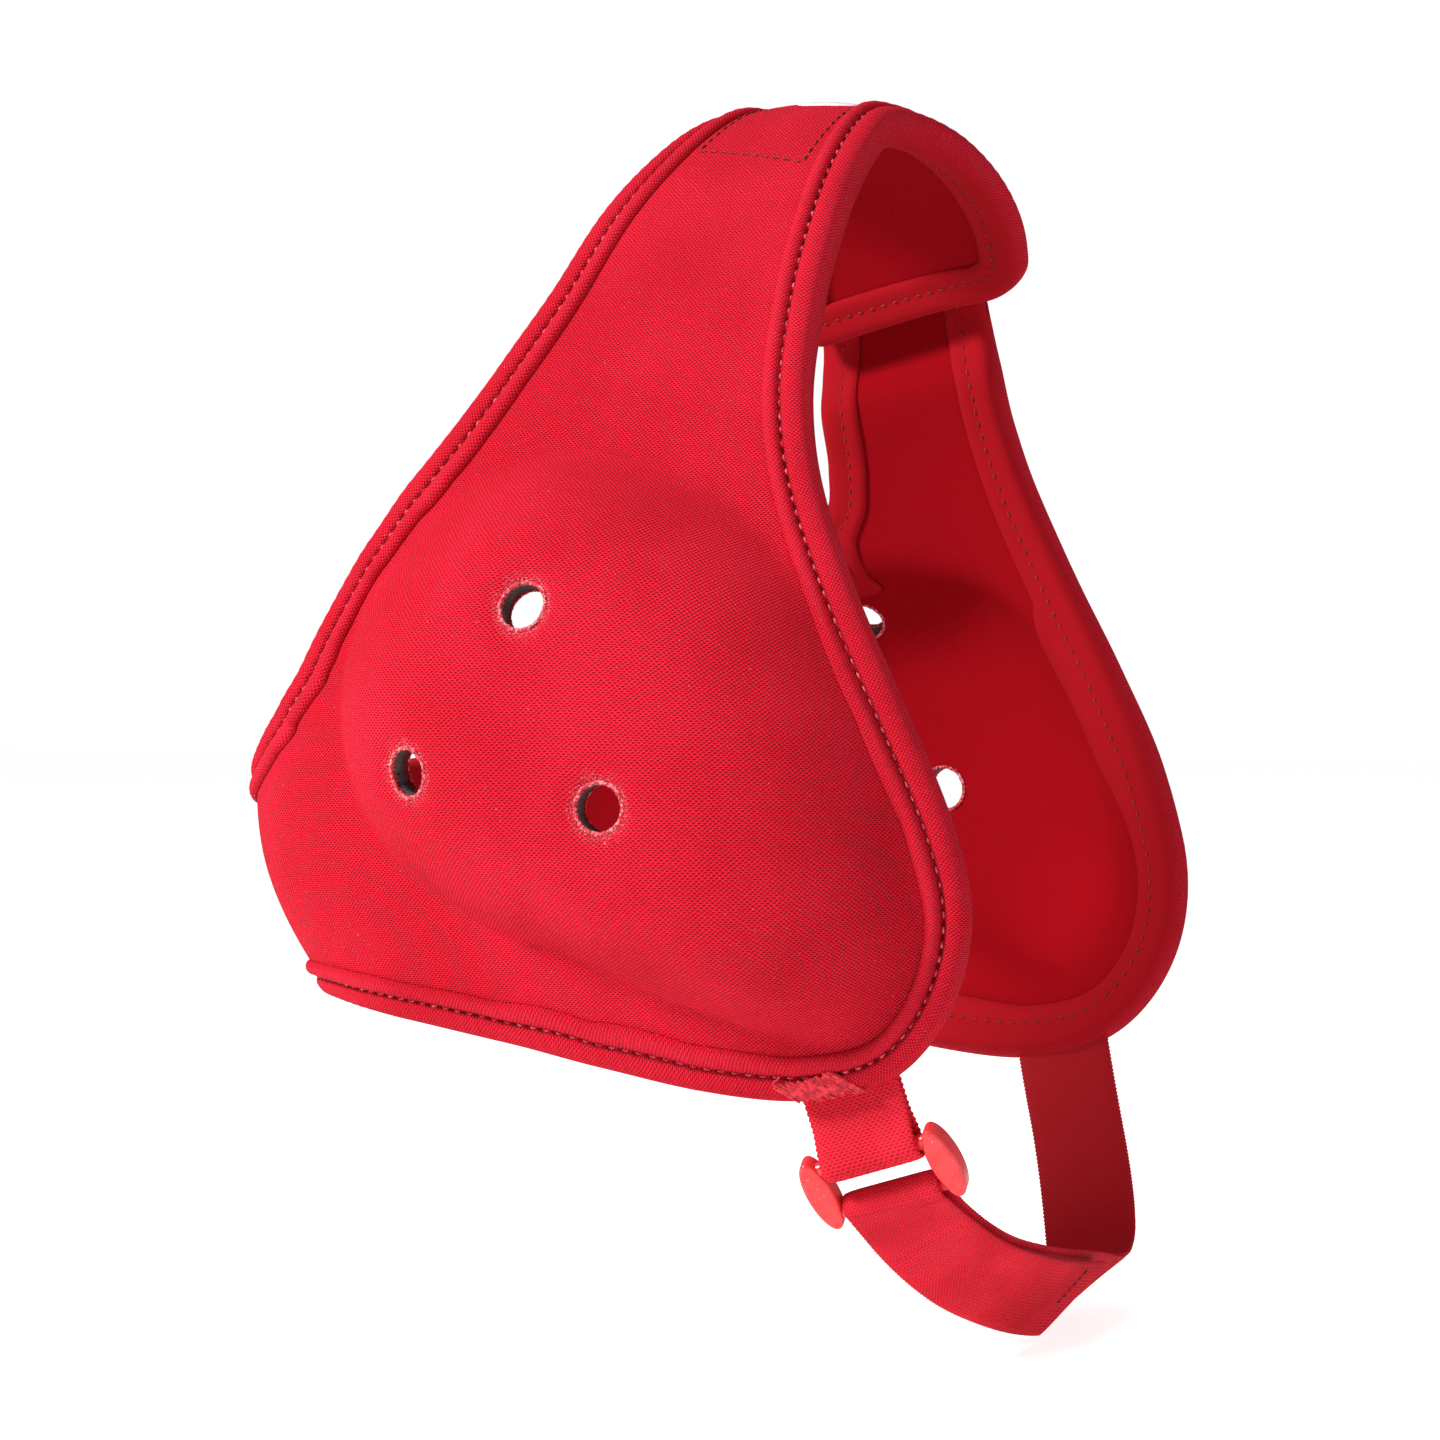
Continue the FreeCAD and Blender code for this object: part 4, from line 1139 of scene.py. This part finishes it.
# The strap: from the tail's hinge to the ring, round its lower bar, and under
# the tail to the left half.
lead_s = np.linspace(SPLIT, 0.5, 30)
lead_h = np.interp(lead_s, (0.5, 1.0, 1.3, 1.6, 1.9, SPLIT), (2.6, 2.4, 2.1, 1.85, 1.67, 1.6))
back_s = np.linspace(0.5, LAST, 220)
back_h = np.interp(back_s, (0.5, 1.0, 1.3, 1.6, 2.0, 6.0, 6.3, 6.6, 7.0, 7.4, 7.8, 8.1),
                   (-2.7, -2.45, -2.15, -1.8, -1.6, -1.6, -1.45, -1.2, -0.7, -0.3, -0.08, 0.0))
_, w0, n0 = strap_at(0.0, 0.0)
t0 = np.cross(w0, n0)
turn = np.radians(np.arange(8, 173, 9.0))[:, None]
fold = lower_bar + (LOOP_R + 0.05) * (n0 * np.cos(turn) - t0 * np.sin(turn))
lead_p, lead_w, _ = strap_at(lead_s, lead_h)
back_p, back_w, _ = strap_at(back_s, back_h)
line = np.concatenate([lead_p, fold, back_p])
spread = np.concatenate([lead_w, np.tile(w0, (len(fold), 1)), back_w])
# How much painted shade the strap's inner face gets past the ring.
on_back = np.concatenate([np.zeros((len(lead_p) + len(fold), 1)),
                          np.clip((back_s[:, None] - 0.8) / 0.8, 0, 1)])
line, spread, on_back = evenly(line, 0.26, spread, on_back)
strap = web("chin_webbing", relax(line, 10), spread, WEBBING, 0.86, 0.07, inside=on_back[:, 0])
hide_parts("chin_strap")
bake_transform(strap)

tail_s = np.linspace(SPLIT, TAIL_END, 160)
line, w, _ = strap_at(tail_s, np.full(160, 1.6))
line, w = evenly(line, 0.26, w)
tail = web("chin_strap_tail", line, w, WEBBING, 0.86, 0.07)
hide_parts("strap_tail")
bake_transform(tail)
# Bar of stitches across the tail, short of its cut end.
bar = strap_at(np.full(30, 5.78), np.full(30, 2.3))
bar_x = np.linspace(-1.0, 9.5, 30)[:, None]
bar_line = bar[0] + bar[1] * bar_x
tacks = mesh("tail_stitches", *stitches(bar_line, bar[2], 1.7, 1.45, 0.27), DARK_THREAD)
place(tacks, (), "strap_tail")


# Hook and loop tape between the two plies.
def strap_pad(name, low, high, material, nodes, body, nap=0.0, hooks=False):
    """Tape sewn to the strap between stations 4.2 and 6.2."""
    s, x = np.meshgrid(np.linspace(4.2, 6.2, 80), np.linspace(-9.5, 9.5, 28), indexing="ij")
    p, w, n = strap_at(s.ravel(), np.zeros(s.size))
    base = p + w * x.ravel()[:, None]
    rough = rng.random(s.size)[:, None] * nap
    top, bottom = base + n * (high - rough), base + n * low
    parts = [thick(top, bottom, grid_faces(80, 28))]
    if hooks:
        pick = (np.arange(s.size).reshape(s.shape)[1:-1:3, 1:-1:2]).ravel()
        t = np.cross(w, n)
        parts += hook_field(bottom[pick] + n[pick] * 0.05, -n[pick], t[pick], 0.45)
    place(mesh(name, *join(parts), material), nodes, body)


strap_pad("tail_hook_tape", 0.52, 0.95, HOOKS, ["tail_hook_patch"], "strap_tail", hooks=True)
strap_pad("strap_loop_tape", -0.92, 0.0, LOOPS, ["strap_loop_patch"], "headgear", nap=0.35)


# ---------------------------------------------------------------- bartacks
def bartack(side, panel, u1, u2):
    """Dense, untidy zigzag that holds a webbing end in the edge of a half."""
    mirrored = side == "left"
    parts = []
    for layer in range(5):
        count = 64
        u = np.linspace(u1, u2, count) + rng.uniform(-0.02, 0.02, count)
        s = np.where(np.arange(count) % 2, 0.9, 5.8) + rng.uniform(-1.2, 1.2, count)
        h = 1.2 + 0.12 * layer + rng.uniform(-0.1, 0.14, count)
        p, n = panel.at(u, 1.0 - s / 150.0, 0.0)
        line = relax(evenly(p + n * h[:, None], 0.5)[0], 2)
        parts.append(tube(line, 0.2 + 0.02 * layer, 6))
    for _ in range(6):
        at = rng.uniform(u1, u2)
        p, n = panel.at(np.array([at]), np.array([0.985 - rng.uniform(0, 0.03)]), 1.5)
        way = unit(rng.standard_normal(3)) * 1.1
        line = [p[0] + n[0] * 0.1]
        for k in range(7):
            way = unit(way + 0.7 * rng.standard_normal(3) - n[0] * 0.25) * 0.6
            step = line[-1] + way
            high = np.dot(step - p[0], n[0])
            line.append(step - n[0] * (high - np.clip(high, 0.0, 0.7)))
        parts.append(tube(relax(evenly(np.array(line), 0.35)[0], 3), 0.2, 6))
    tack = mesh(f"{side}_corner_tack", *join(parts), TACK_THREAD, mirrored=mirrored)
    place(tack, [f"{side}_bartack"])


bartack("right", right, 14.25, 14.98)
bartack("left", left, 13.25, 13.98)

# ---------------------------------------------------------------- ring
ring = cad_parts["chin_ring"]
ring.data.materials.clear()
ring.data.materials.append(PLASTIC)

# ---------------------------------------------------------------- studio
AZIMUTH, ELEVATION, DISTANCE = -65.0, 0.7, 1.12
LENS, SENSOR = 127.5, 36.0
TARGET = Vector((0.0, 0.018, 0.008))


def aim(obj, place_at, target):
    obj.location = place_at
    obj.rotation_euler = (Vector(target) - Vector(place_at)).to_track_quat("-Z", "Y").to_euler()


def compass(azimuth, elevation, distance):
    a, e = math.radians(azimuth), math.radians(elevation)
    return TARGET + distance * Vector((math.sin(a) * math.cos(e), -math.cos(a) * math.cos(e),
                                       math.sin(e)))


scene = bpy.context.scene
camera = bpy.data.objects.new("camera", bpy.data.cameras.new("camera"))
camera.data.lens, camera.data.sensor_width = LENS, SENSOR
aim(camera, compass(AZIMUTH, ELEVATION, DISTANCE), TARGET)
scene.collection.objects.link(camera)
scene.camera = camera


def softbox(name, azimuth, elevation, distance, size, power):
    light = bpy.data.lights.new(name, "AREA")
    light.shape, light.size, light.energy = "DISK", size, power
    obj = bpy.data.objects.new(name, light)
    aim(obj, compass(azimuth, elevation, distance), TARGET)
    scene.collection.objects.link(obj)


# Azimuth, elevation, distance, size and power of each soft box.
SOFTBOXES = {"key": (-132, 34, 1.3, 0.3, 17), "fill": (-40, 8, 1.5, 0.9, 1.8),
             "top": (-70, 72, 1.2, 0.7, 3.2)}
for name, settings in SOFTBOXES.items():
    softbox(name, *settings)
world = bpy.data.worlds.new("studio")
world.use_nodes = True
sky = world.node_tree
sky.nodes["Background"].inputs["Color"].default_value = (1, 1, 1, 1)
# White to look at, and dimmer as a light, so that the soft boxes model the form.
seen = sky.nodes.new("ShaderNodeLightPath").outputs["Is Camera Ray"]
level = sky.nodes.new("ShaderNodeMapRange")
level.inputs["To Min"].default_value, level.inputs["To Max"].default_value = 0.2, 1.02
sky.links.new(seen, level.inputs["Value"])
sky.links.new(level.outputs[0], sky.nodes["Background"].inputs["Strength"])
scene.world = world
scene.view_settings.view_transform = "Standard"

low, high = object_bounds()
half = 6.0
floor_mesh = bpy.data.meshes.new("floor")
z = low.z - 0.001
floor_mesh.from_pydata([(-half, -half, z), (half, -half, z), (half, half, z), (-half, half, z)],
                       [], [(0, 1, 2, 3)])
floor = bpy.data.objects.new("floor", floor_mesh)
scene.collection.objects.link(floor)
paper = Shade("pale_floor", roughness=0.9, specular=0.0)
paper.bsdf.inputs["Emission Color"].default_value = (1, 1, 1, 1)
# Near white to look at, but a dim light from below.
glow = paper.node("MapRange", {0: paper.node("LightPath").outputs["Is Camera Ray"], 3: 0.32, 4: 0.8})
paper.tree.links.new(glow.outputs[0], paper.bsdf.inputs["Emission Strength"])
floor_mesh.materials.append(paper.colour(paper.mix(paper.noise(3.0), srgb(248, 248, 248),
                                                   srgb(252, 252, 252))))
